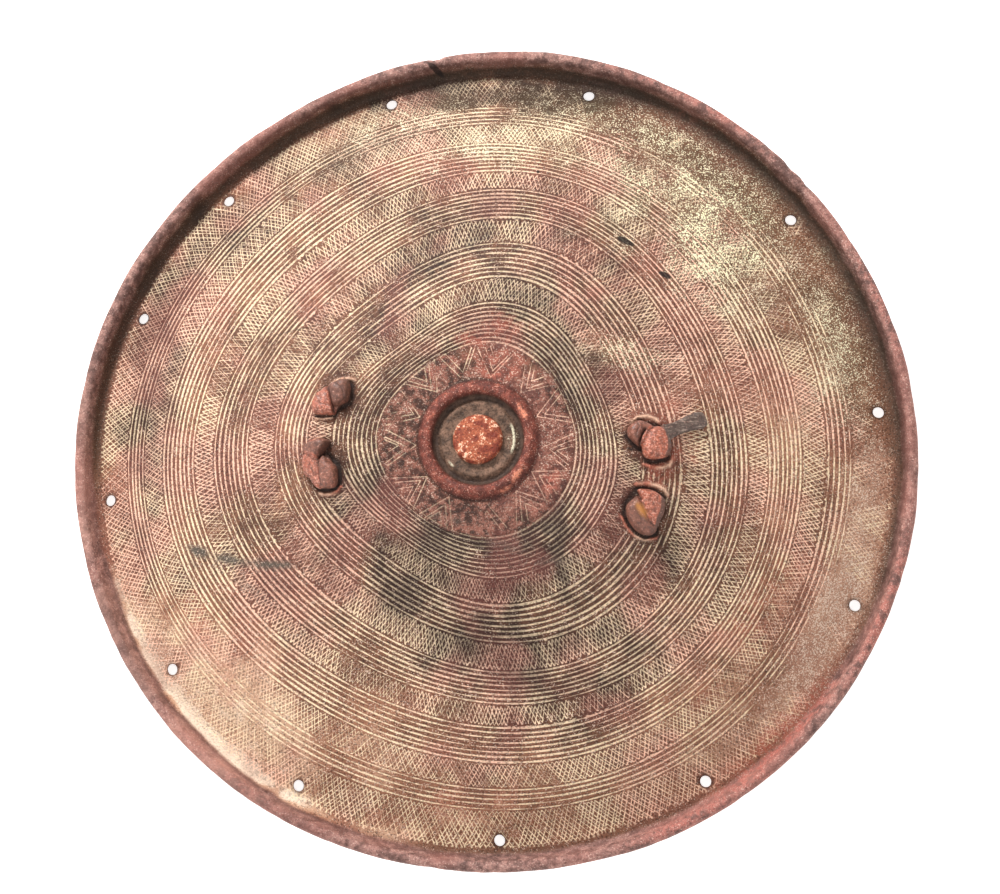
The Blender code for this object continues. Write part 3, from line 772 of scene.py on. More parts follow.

# Each knot as seen from above, in millimetres from its slit. Lobes: height, the slope of the top to the
# right and upward, tint from 0, dark, to 1, orange, and outline. Creases, with painted shade in them: half
# width, depth and line. Shaded gaps, where painted shade lies and the hide sinks a little: half width and
# line. Lips pushed up in the hide: half width, height and line.
knots = (
    {"lobes": (
        (5.2, -0.1, -0.02, 0.8, ((-2.4, 4.4), (-4.8, 3), (-7.3, 1), (-8.6, -1.6), (-8.8, -4.4),
          (-8, -6.7), (-5.9, -7.4), (-2.6, -7.6), (0.9, -7.5), (0.8, -5.1), (0, -2.3), (-0.8, 0.6))),
        (5.9, 0.06, 0.06, 0.22, ((-1.6, 4.5), (1.2, 5.9), (3.9, 6.7), (6.5, 6.4), (7.3, 4.1), (7.2, 1),
          (6.8, -1.3), (5.3, -2.8), (3.4, -3.6), (1.6, -4.6), (0.1, -3.7), (-0.8, 0.1))),
     ),
     "creases": (
        (0.5, 1.4, ((-2.2, 4.1), (-1.1, 1), (-0.3, -2.8), (0.5, -6.8))),
        (0.325, 0.5, ((1.1, 5.6), (2.9, 3.9), (4.8, 1.8), (5.3, -2.3))),
        (0.3, 0.4, ((-7.3, -2.3), (-4.2, -3.7), (-1.4, -4.4))),
        (0.3, 0.4, ((-1.9, 1.8), (0.3, -0.6))),
     ),
     "shadedGaps": (
        (0.5, ((-0.9, 6.2), (1.5, 6.7), (3.9, 7.1))),
        (0.85, ((6.8, 6.8), (7.7, 4.9), (7.4, 1.8), (7.6, -0.5))),
        (0.65, ((6.9, -2.3), (4.8, -3.3), (2.4, -4.7), (1.2, -5.7))),
        (0.35, ((-8.3, -7.1), (-5.7, -7.9), (-2.3, -8), (1, -7.8))),
     ),
     "lips": (
        (0.6, 0.9, ((-1.9, 6.4), (0.3, 7.9), (2.9, 8.8), (6, 8.6), (8.4, 7.6))),
        (0.5, 0.3, ((-8, -8.2), (-4.7, -8.6), (-0.9, -8.2))),
     )},
    {"lobes": (
        (4.6, -0.05, 0, 0.72, ((-8, 5.2), (-8.4, 2.3), (-8.2, -1), (-7.1, -3.6), (-5.2, -4.8),
          (-3.9, -6.9), (-2, -9.1), (-0.5, -9.1), (0, -6.7), (-0.1, -2.4), (-0.8, 1.4), (-1.7, 4.2),
          (-4.8, 5.7))),
        (5.6, 0.05, 0, 0.42, ((-0.6, 2.8), (1.6, 2.8), (4, 1.4), (5.9, -0.1), (6.5, -2.7), (6.7, -5.3),
          (6.2, -7.7), (4.9, -9), (2.3, -9.3), (-0.3, -8.6), (-1.1, -4.3), (-1.6, 0.2))),
        (6.4, 0.05, 0.1, 0.3, ((-7.3, 8.3), (-5.8, 9.9), (-2.9, 10.8), (0, 11.6), (2.9, 10.4), (2.9, 9.4),
          (1.8, 7.7), (0.4, 5.9), (-0.6, 4.1), (-1.9, 2.7), (-3.9, 3.7), (-6.3, 5.2), (-7.8, 6.4))),
     ),
     "creases": (
        (0.55, 1.8, ((3.1, 9.9), (1.7, 7.6), (0, 5.2), (-1.2, 3))),
        (0.4, 0.8, ((-1.5, 2.3), (-1.2, -1.5), (-0.8, -5.3), (0, -8.6))),
        (0.3, 0.4, ((-5.3, 0.4), (-3.9, -2.4), (-3.4, -4.8))),
     ),
     "shadedGaps": (
        (0.6, ((-6.6, 9.8), (-3.4, 11.3), (0.3, 12))),
        (1.1, ((1.9, 5.2), (3.8, 3.3), (6.1, 1.4))),
        (0.55, ((6.7, 0), (7.2, -3.4), (7.1, -6.7), (5.9, -8.8), (1.9, -9.7), (-1.7, -9.5), (-4.6, -6.7))),
     ),
     "lips": (
        (0.55, 0.6, ((-6.7, 10.9), (-3.4, 12.6), (0.2, 13.2))),
        (0.65, 0.9, ((-2.2, -10.7), (0.4, -11.5), (3.3, -11.4), (5.9, -10.3), (7.2, -8.4))),
     )},
    {"lobes": (
        (5, -0.08, 0.05, 0.42, ((-6.8, 6), (-4.7, 7.4), (-2, 6.8), (1, 5.5), (1.1, 3.1), (-0.5, 1.3),
          (-1.7, -0.9), (-3.1, -3.1), (-4.5, -2.9), (-6.8, -0.9), (-8.4, 1.3), (-8.3, 4))),
        (6.2, 0.04, -0.03, 0.92, ((-0.7, 2), (1, 4.4), (3.7, 5.1), (6.3, 3.6), (8.1, 0.3), (8.7, -3.4),
          (8, -6.6), (5.8, -7.9), (2.9, -8.6), (-0.1, -8.6), (-1.8, -7.2), (-2.4, -4.6), (-1.9, -1.1))),
     ),
     "creases": (
        (0.6, 1.9, ((-0.5, 2.9), (-1.5, 1), (-2.7, -2), (-3.3, -3.7))),
        (0.3, 0.5, ((-4, 6.6), (-2.6, 4), (-3.7, 0.9))),
        (0.3, 0.4, ((3.7, 4.9), (1.1, 2.6))),
     ),
     "shadedGaps": (
        (0.7, ((-3.7, 8.3), (-0.9, 7.2), (2.3, 6.8), (4.5, 6.6))),
        (0.7, ((-1.1, -9.5), (2.9, -9.1), (6.8, -8), (8.1, -7))),
        (0.75, ((-9.2, 1.7), (-7.4, -1.4), (-4.6, -3.7), (-3.1, -4.2))),
        (0.5, ((-8.1, -3.8), (-6, -4.6))),
     ),
     "lips": (
        (0.75, 1, ((-6.6, 7.8), (-4.3, 9.7), (-0.7, 10.4), (2.7, 9.3), (4.3, 7.7))),
        (0.8, 1, ((-1.7, -10.4), (1.7, -11.5), (5.7, -11.2), (8.8, -9.9), (9.7, -7.1))),
     )},
    {"lobes": (
        (6, 0.05, 0.04, 0.86, ((-3.6, 7.9), (-0.3, 8.4), (3.3, 7.4), (6, 5.4), (6.8, 2.3), (6.3, -1.1),
          (5, -4), (3.6, -6.8), (1.7, -5.1), (0.2, -1.7), (-1.3, 1.7), (-2.7, 5))),
        (5.2, -0.06, -0.05, 0.3, ((-8.2, 1), (-6, 3.5), (-3.6, 5.4), (-2.3, 4), (-1.1, 1.1), (0.4, -2),
          (1.9, -4.9), (3.6, -7.4), (2.5, -9.5), (-0.7, -10.4), (-3.7, -9.1), (-6.1, -6.8), (-7.8, -3.3))),
     ),
     "creases": (
        (0.55, 1.7, ((-4.4, 8.1), (-2.9, 6), (-1.5, 3.3))),
        (0.375, 0.8, ((-1.5, 3.3), (0.1, -1.1), (2, -5.1), (3.8, -7.4))),
     ),
     "shadedGaps": (
        (0.75, ((-4.7, 8.7), (-0.9, 9.4), (3.1, 8.6), (6.1, 6.8), (7.4, 5.8))),
        (0.8, ((-4.3, 7.4), (-7.1, 4.6), (-8.8, 1.7), (-9.5, -1.4))),
        (0.6, ((-9.4, -2), (-7.7, -5.4), (-5.4, -8.8), (-1.1, -11.1), (3.1, -10), (4.2, -6.8))),
     ),
     "lips": (
        (0.8, 1, ((-4, 10.8), (0.3, 11.3), (4.3, 10.6), (7.7, 8.8), (8.6, 6.8))),
        (0.55, 0.5, ((-10.1, -2.9), (-8.3, -6.8), (-5.1, -10.6), (-0.9, -12.2), (3.7, -11.1))),
     )},
)
# What is seen at a height above the hide lies this far aside of its place in plan: right and up for 1 mm
sightShift = (0.13, -0.172)
sightHeight = 4.5
lipHeight = 0.6
looseEnd = {
    "slit": 2,
    "start": (6.2, 2.1),
    "turn": 22.0,
    "length": 0.0183,
    "widths": (0.0074, 0.0062, 0.0058, 0.0062, 0.0071, 0.0078, 0.0072),
    "thickness": 0.0022,
    "lift": 0.0007,
    "bend": 0.0009,
    "steps": 14,
    "tint": -0.5,
}


def loft(stations, sides, power=2.6):
    # Closed strip through rounded sections: centre, width axis, thickness axis, width, thickness
    points, faces = [], []
    for centre, wide, thick, width, thickness in stations:
        for k in range(sides):
            angle = fullTurn * (k + 0.5) / sides
            c, s = math.cos(angle), math.sin(angle)
            c = math.copysign(abs(c) ** (2 / power), c)
            s = math.copysign(abs(s) ** (2 / power), s)
            points.append(centre + wide * (c * width / 2) + thick * (s * thickness / 2))
    for row in range(len(stations) - 1):
        for k in range(sides):
            a, b = row * sides + k, row * sides + (k + 1) % sides
            faces.append((a, b, b + sides, a + sides))
    faces.append(tuple(range(sides))[::-1])
    faces.append(tuple(range((len(stations) - 1) * sides, len(stations) * sides)))
    return points, faces


def smoothLoop(points, steps=6):
    # Rounded closed line through the points
    made = []
    count = len(points)
    for k in range(count):
        a, b, c, d = (np.array(points[(k + shift) % count]) for shift in (-1, 0, 1, 2))
        for step in range(steps):
            t = step / steps
            made.append(0.5 * (2 * b + (c - a) * t + (2 * a - 5 * b + 4 * c - d) * t * t
                               + (3 * b - a - 3 * c + d) * t ** 3))
    return np.array(made)


def lineDistance(x, y, points):
    nearest = np.full(len(x), 1e3)
    for (ax, ay), (bx, by) in zip(points, points[1:]):
        runX, runY = bx - ax, by - ay
        share = np.clip(((x - ax) * runX + (y - ay) * runY) / (runX * runX + runY * runY), 0, 1)
        nearest = np.minimum(nearest, np.hypot(x - ax - runX * share, y - ay - runY * share))
    return nearest


def loopDistance(x, y, loop):
    # Over 0 outside the closed line
    closed = [tuple(point) for point in loop] + [tuple(loop[0])]
    away = lineDistance(x, y, closed)
    inside = np.zeros(len(x), bool)
    for (ax, ay), (bx, by) in zip(closed, closed[1:]):
        if ay != by:
            crosses = ((ay > y) != (by > y)) & (x < (bx - ax) * (y - ay) / (by - ay) + ax)
            inside ^= crosses
    return np.where(inside, -away, away)


# Section of a lobe from its foot to its top: share of the outline, share of the height
lobeRows = ((0.90, -0.25), (0.99, 0.0), (1.03, 0.25), (1.01, 0.50), (0.95, 0.70), (0.86, 0.84), (0.72, 0.93),
            (0.52, 0.98), (0.28, 1.0))


def sightOffset(height):
    return [shift * (sightHeight - height) for shift in sightShift]


def lobe(place, normal, height, slopeX, slopeY, outline):
    loop = smoothLoop(outline)
    middle = loop.mean(0)
    asideX, asideY = sightOffset(height * 0.5)
    points, faces = [], []

    def put(u, v, share):
        spot = hidePoint(place.x + (u + asideX) * mm, place.y + (v + asideY) * mm)
        slope = slopeX * (u - middle[0]) + slopeY * (v - middle[1]) if share > 0 else 0.0
        points.append(spot + normal * (share * (height + slope) * mm))

    for scale, share in lobeRows:
        for u, v in middle + (loop - middle) * scale:
            put(u, v, share)
    count = len(loop)
    for row in range(len(lobeRows) - 1):
        for k in range(count):
            a, b = row * count + k, row * count + (k + 1) % count
            faces.append((a, b, b + count, a + count))
    put(*middle, 1.0)
    put(*middle, lobeRows[0][1])
    top, foot = len(points) - 2, len(points) - 1
    last = (len(lobeRows) - 1) * count
    for k in range(count):
        faces.append((last + k, last + (k + 1) % count, top))
        faces.append(((k + 1) % count, k, foot))
    area = sum(a[0] * b[1] - b[0] * a[1] for a, b in zip(loop, np.roll(loop, -1, 0)))
    if area < 0:
        faces = [face[::-1] for face in faces]
    return points, faces


def squareTo(guide, run):
    return (guide - run * guide.dot(run)).normalized()


def gripBar(along, across):
    stations = []
    for side, rows in ((-1, grip["bar"][:0:-1]), (1, grip["bar"])):
        for share, width, thickness in rows:
            spot = Vector(grip["centre"]) + along * (side * share * grip["length"] / 2)
            stations.append((spot, across, Vector((0, 0, 1)), width, thickness))
    return loft(stations, grip["barSides"])


def thong(index, along, across):
    # From its knot down through the slit and round to the end of the bar
    place, slitAcross, side = slits[index]
    row = 1 if index % 2 == 0 else -1
    width, thickness = grip["thongWidth"], grip["thongThickness"]
    longAxis, shortAxis, normal = slitFrame(place, slitAcross)
    top = hidePoint(place.x, place.y)
    join = (Vector(grip["centre"]) + along * (side * grip["join"] * grip["length"] / 2)
            + across * (row * width / 2))
    below = top - normal * (form["wall"] + 0.0003)
    curve = (below, below - normal * grip["bend"], join + along * (side * grip["bend"]), join)
    stations = [(top + normal * height, longAxis, shortAxis, width, thickness * 0.92)
                for height in (0.004, 0.002, 0.0)]
    for step in range(grip["thongSteps"] + 1):
        t = step / grip["thongSteps"]
        spot = bezier(curve, t)
        run = (bezier(curve, t + 0.01) - spot).normalized() if step else -normal
        wide = squareTo(longAxis.lerp(across, t), run)
        wavy = width * (1 + 0.03 * math.sin(7 * t + index))
        stations.append((spot, wide, wide.cross(run), wavy, thickness))
    return loft(stations, grip["thongSides"])


def knotLobes(index):
    place, across, _ = slits[index]
    longAxis, shortAxis, normal = slitFrame(place, across)
    halfLong, halfShort, height, aside = grip["core"]
    long, short = longAxis.xy * halfLong, shortAxis.xy * halfShort
    core = [Vector(aside) + long * math.cos(turn) + short * math.sin(turn) for turn in anglesRound(12)]
    made = [lobe(place, normal, high, slopeX, slopeY, outline)
            for high, slopeX, slopeY, _, outline in knots[index]["lobes"]]
    return made + [lobe(place, normal, height, 0.0, 0.0, [spot[:] for spot in core])]


def looseStrip():
    # The loose end lies on the hide, thinner at its start and ragged at its tip
    run = Vector(polar(1.0, math.radians(looseEnd["turn"])))
    start = slits[looseEnd["slit"]][0] + Vector(looseEnd["start"]) * mm
    stations = []
    count = looseEnd["steps"]
    for step in range(count + 1):
        t = step / count
        bend = looseEnd["bend"] * math.sin(2.2 * t)
        flat = start + run * (looseEnd["length"] * t) + Vector((-run.y, run.x)) * bend
        normal = hideNormal(*flat)
        lift = looseEnd["lift"] + looseEnd["thickness"] / 2 + 0.0022 * max(0.0, 0.35 - t) + 0.0006 * t * t
        ahead = squareTo(Vector((*run, 0)), normal)
        width = float(np.interp(t, np.linspace(0, 1, len(looseEnd["widths"])), looseEnd["widths"]))
        end = min(1.0, (1 - t) * count / 1.6)
        stations.append((hidePoint(*flat) + normal * lift, normal.cross(ahead), normal,
                         width * (0.72 + 0.28 * math.sqrt(end)), looseEnd["thickness"] * (0.8 + 0.2 * end)))
    return loft(stations, 18, 3.0)


def gripParts():
    turn = math.radians(lacing["turn"])
    along, across = Vector((*polar(1.0, turn), 0)), Vector((-math.sin(turn), math.cos(turn), 0))
    parts = [gripBar(along, across)]
    for index in range(len(slits)):
        parts.append(thong(index, along, across))
        parts += knotLobes(index)
    return parts + [looseStrip()]


def nearKnots(x, y):
    # Height and mask of the lips, and how much painted shade lies beside a knot
    rise, lip, gap = np.zeros(len(x)), np.zeros(len(x)), np.zeros(len(x))
    asideX, asideY = sightOffset(lipHeight)
    for knot, (place, _, _) in zip(knots, slits):
        u, v = (x - place.x) * 1000, (y - place.y) * 1000
        near = np.hypot(u, v) < 18
        u, v = u[near] - asideX, v[near] - asideY
        for half, height, line in knot["lips"]:
            away = lineDistance(u, v, line)
            rise[near] = np.maximum(rise[near], mm * height * np.exp(-(away / half) ** 2))
            lip[near] = np.maximum(lip[near], np.exp(-(away / half / 0.9) ** 4))
        for half, line in knot["shadedGaps"]:
            away = lineDistance(u, v, line)
            gap[near] = np.maximum(gap[near], 1 - stepUp(half * 0.7, half * 1.3 + 0.2, away))
        # Painted shadow cast to the lower right of each lobe
        for *_, outline in knot["lobes"]:
            away = loopDistance(u - 0.3, v + 0.3, smoothLoop(outline, 3))
            gap[near] = np.maximum(gap[near], 0.55 * (1 - stepUp(0.1, 1.0, away)))
    return rise, lip, gap * (1 - 0.9 * lip)


def addKnotPoints(plan):
    # Closer points where the hide is pushed up or shaded beside the knots
    asideX, asideY = sightOffset(lipHeight)
    for knot, (place, _, _) in zip(knots, slits):
        for half, line in [(half, line) for half, _, line in knot["lips"]] + list(knot["shadedGaps"]):
            spots = np.array(line)
            lengths = np.concatenate([[0], np.cumsum(np.hypot(*np.diff(spots, axis=0).T))])
            along = np.arange(0, lengths[-1], 0.45)
            u, v = (np.interp(along, lengths, spots[:, way]) for way in (0, 1))
            runU, runV = np.gradient(u), np.gradient(v)
            size = np.hypot(runU, runV)
            for aside in (-2.0, -1.0, 0.0, 1.0, 2.0):
                px = place.x + (u + asideX - runV / size * aside * half) * mm
                py = place.y + (v + asideY + runU / size * aside * half) * mm
                reach = np.hypot(px, py)
                plan.add(px, py, reach - drift(reach, np.arctan2(py, px)))


def joinParts(parts):
    # One skin over all the parts
    points, faces = [], []
    for partPoints, partFaces in parts:
        base = len(points)
        points += partPoints
        faces += [tuple(base + k for k in face) for face in partFaces]
    shift = Vector((*form["axis"], 0))
    rough = bpy.data.meshes.new("grip_parts")
    rough.from_pydata([p + shift for p in points], [], faces)
    holder = bpy.data.objects.new("grip_parts", rough)
    bpy.context.scene.collection.objects.link(holder)
    remesh = holder.modifiers.new("join", "REMESH")
    remesh.mode = "VOXEL"
    remesh.voxel_size = grip["voxel"]
    soften = holder.modifiers.new("soften", "SMOOTH")
    soften.factor = 0.5
    soften.iterations = 2
    graph = bpy.context.evaluated_depsgraph_get()
    mesh = bpy.data.meshes.new_from_object(holder.evaluated_get(graph), depsgraph=graph)
    bpy.data.objects.remove(holder, do_unlink=True)
    return mesh


def knotTones(x, y, above, tint, low):
    # Tint of each lobe, painted shade in the creases and how deep they sink
    creaseShade, sink = np.zeros(len(x)), np.zeros(len(x))
    for knot, (place, _, _) in zip(knots, slits):
        asideX, asideY = sightOffset(above * 1000)
        u, v = (x - place.x) * 1000 - asideX, (y - place.y) * 1000 - asideY
        near = (np.hypot(u, v) < 13) & (above > 0.0005)
        u, v = u[near], v[near]
        nearest, shade = np.full(len(u), 1e3), np.full(len(u), 0.3)
        for *_, value, outline in knot["lobes"]:
            away = loopDistance(u, v, smoothLoop(outline, 3))
            shade = np.where(away < np.minimum(nearest, 0.6), value, shade)
            nearest = np.minimum(nearest, away)
        tint[near] = np.where(nearest < 0.8, shade, grip["plainTint"])
        for half, depth, line in knot["creases"]:
            shape = np.exp(-(lineDistance(u, v, line) / half) ** 2)
            creaseShade[near] = np.maximum(creaseShade[near], shape * min(1.0, 0.45 + 0.4 * depth))
            sink[near] = np.maximum(sink[near], mm * depth * shape)
    tail = slits[looseEnd["slit"]][0]
    c, s = polar(1.0, math.radians(looseEnd["turn"]))
    along, aside = (x - tail.x) * c + (y - tail.y) * s, (y - tail.y) * c - (x - tail.x) * s
    onTail = (along > 0.0085) & (along < 0.03) & (np.abs(aside) < 0.008) & (above > -0.001)
    tint[onTail & (tint < 0.2)] = looseEnd["tint"]
    low[onTail] *= 0.55
    return np.maximum(low, creaseShade), sink


def makeGrip():
    mesh = joinParts(gripParts())
    spots, normals = readPoints(mesh), readPoints(mesh, "normal")
    x, y, z = (spots - (*form["axis"], 0.0)).T
    above = z - formHeight(x, y)
    wrinkle = 0.0
    for cell, height, seed, alongX, alongY in grip["wrinkles"]:
        wrinkle = wrinkle + (valueNoise(x + z * alongX, y + z * alongY, cell, seed) - 0.5) * height
    tint = np.full(len(x), grip["plainTint"])
    # Painted shade on the thong within 2 mm of the hide
    low = np.clip(1 - above / 0.0020, 0, 1) * (above > -0.003)
    low, sink = knotTones(x, y, above, tint, low)
    spots += normals * wrinkle[:, None]
    spots[:, 2] -= sink
    mesh.vertices.foreach_set("co", spots.ravel())
    addValues(mesh, {"tint": tint, "low": low})
    mesh.update()
    return mesh


hide = finishMesh(makeHide(), "worked_hide_disc", 70)
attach(hide, "root")
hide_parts("shield_body")

thongs = finishMesh(makeGrip(), "hand_grip_and_knots", 60)
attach(thongs, "root")
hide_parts("hand_grip")


class Graph:
    # Short calls for building a node tree
    def __init__(self, tree):
        self.tree = tree

    def node(self, kind, **settings):
        made = self.tree.nodes.new(kind)
        for key, value in settings.items():
            setattr(made, key, value)
        return made

    def put(self, socket, value):
        if isinstance(value, bpy.types.NodeSocket):
            self.tree.links.new(value, socket)
        elif value is not None:
            socket.default_value = value

    def fill(self, made, values, output=0):
        # Values by the number or the name of their socket
        for key, value in values.items():
            self.put(made.inputs[key], value)
        return made.outputs[output]

    def math(self, operation, *values):
        return self.fill(self.node("ShaderNodeMath", operation=operation), dict(enumerate(values)))

    def times(self, a, b):
        return self.math("MULTIPLY", a, b)

    def plus(self, a, b):
        return self.math("ADD", a, b)

    def minus(self, a, b):
        return self.math("SUBTRACT", a, b)

    def larger(self, a, b):
        return self.math("MAXIMUM", a, b)

    def sway(self, value, size):
        # A noise as a value above and below zero
        return self.times(self.minus(value, 0.5), size)

    def step(self, *values):
        # value, low, high, and what it gives at low and at high
        made = self.node("ShaderNodeMapRange", interpolation_type="SMOOTHSTEP")
        return self.fill(made, dict(enumerate((*values, 0.0, 1.0) if len(values) == 3 else values)))

    def within(self, value, zone):
        return self.step(value, *zones[zone], 1.0, 0.0)

    def beyond(self, value, zone):
        return self.step(value, *zones[zone])

    def noise(self, place, scale, detail=3.0, rough=0.55, bend=0.0):
        made = self.node("ShaderNodeTexNoise", noise_dimensions="3D")
        return self.fill(made, {"Vector": place, "Scale": scale, "Detail": detail, "Roughness": rough,
                                "Distortion": bend})

    def cells(self, place, scale):
        made = self.node("ShaderNodeTexVoronoi", voronoi_dimensions="3D", feature="F1")
        return self.fill(made, {"Vector": place, "Scale": scale}, "Distance")

    def mix(self, share, *tones):
        made = self.node("ShaderNodeMix", data_type="RGBA", blend_type="MIX", clamp_result=True)
        first, last = ((*tone, 1.0) if isinstance(tone, tuple) else tone for tone in tones)
        return self.fill(made, {0: share, 6: first, 7: last}, 2)

    def coat(self, under, tone, mask, share=None):
        return self.mix(mask if share is None else self.times(mask, share), under, tone)

    def value(self, name):
        return self.node("ShaderNodeAttribute", attribute_name=name).outputs["Fac"]

    def values(self, *names):
        return (self.value(name) for name in names)

    def curve(self, value, stops):
        # Value by linear steps between stops, from 0 to 1 each way
        made = self.node("ShaderNodeValToRGB")
        ramp = made.color_ramp
        while len(ramp.elements) < len(stops):
            ramp.elements.new(0.5)
        for element, (place, level) in zip(ramp.elements, stops):
            element.position = place
            element.color = (level, level, level, 1)
        return self.fill(made, {0: value})

    def group(self, tree, **values):
        return self.fill(self.node("ShaderNodeGroup", node_tree=tree), values)

    def finish(self, shader, tone, roughness, height, strength, distance):
        bump = self.node("ShaderNodeBump")
        normal = self.fill(bump, {"Strength": strength, "Distance": distance, "Height": height})
        self.fill(shader, {"Base Color": tone, "Roughness": roughness, "Normal": normal})


def newGroup(name, inputs, output):
    # Inputs with a number are values, and the others are vectors
    tree = bpy.data.node_groups.new(name, "ShaderNodeTree")
    for key, value in inputs.items():
        kind = "NodeSocketVector" if value is None else "NodeSocketFloat"
        socket = tree.interface.new_socket(key, in_out="INPUT", socket_type=kind)
        if value is not None:
            socket.default_value = value
    tree.interface.new_socket(output, in_out="OUTPUT", socket_type="NodeSocketFloat")
    graph = Graph(tree)
    return tree, graph, graph.node("NodeGroupInput").outputs, graph.node("NodeGroupOutput").inputs[0]


def makeSpotGroup():
    # Soft ragged oval, seen from above
    inputs = {"Place": None, "X": 0.0, "Y": 0.0, "Turn": 0.0, "Long": 0.01, "Short": 0.01, "Push": 0.0,
              "Ragged": 0.5, "Soft": 0.5}
    tree, graph, given, wanted = newGroup("soft_spot", inputs, "Mask")
    split = graph.node("ShaderNodeSeparateXYZ")
    graph.put(split.inputs[0], given["Place"])
    dx, dy = graph.minus(split.outputs[0], given["X"]), graph.minus(split.outputs[1], given["Y"])
    c, s = graph.math("COSINE", given["Turn"]), graph.math("SINE", given["Turn"])
    along = graph.plus(graph.times(dx, c), graph.times(dy, s))
    across = graph.minus(graph.times(dy, c), graph.times(dx, s))
    a, b = graph.math("DIVIDE", along, given["Long"]), graph.math("DIVIDE", across, given["Short"])
    reach = graph.math("SQRT", graph.plus(graph.times(a, a), graph.times(b, b)))
    reach = graph.plus(reach, graph.times(given["Push"], given["Ragged"]))
    graph.put(wanted, graph.step(reach, graph.minus(1.0, given["Soft"]), 1.0, 1.0, 0.0))
    return tree


def makeGrainGroup():
    # Height of fine hide grain: pores, small creases and scuffs
    tree, graph, given, wanted = newGroup("hide_grain", {"Place": None, "Scale": 1.0}, "Height")
    pores = graph.cells(given["Place"], graph.times(given["Scale"], 900.0))
    creases = graph.noise(given["Place"], graph.times(given["Scale"], 300.0), 3.0, 0.65, 0.4)
    graph.put(wanted, graph.plus(graph.times(pores, 0.35), graph.times(creases, 1.2)))
    return tree


spotGroup = makeSpotGroup()
grainGroup = makeGrainGroup()


def newMaterial(name):
    material = bpy.data.materials.new(name)
    material.use_nodes = True
    shader = material.node_tree.nodes["Principled BSDF"]
    return material, Graph(material.node_tree), shader


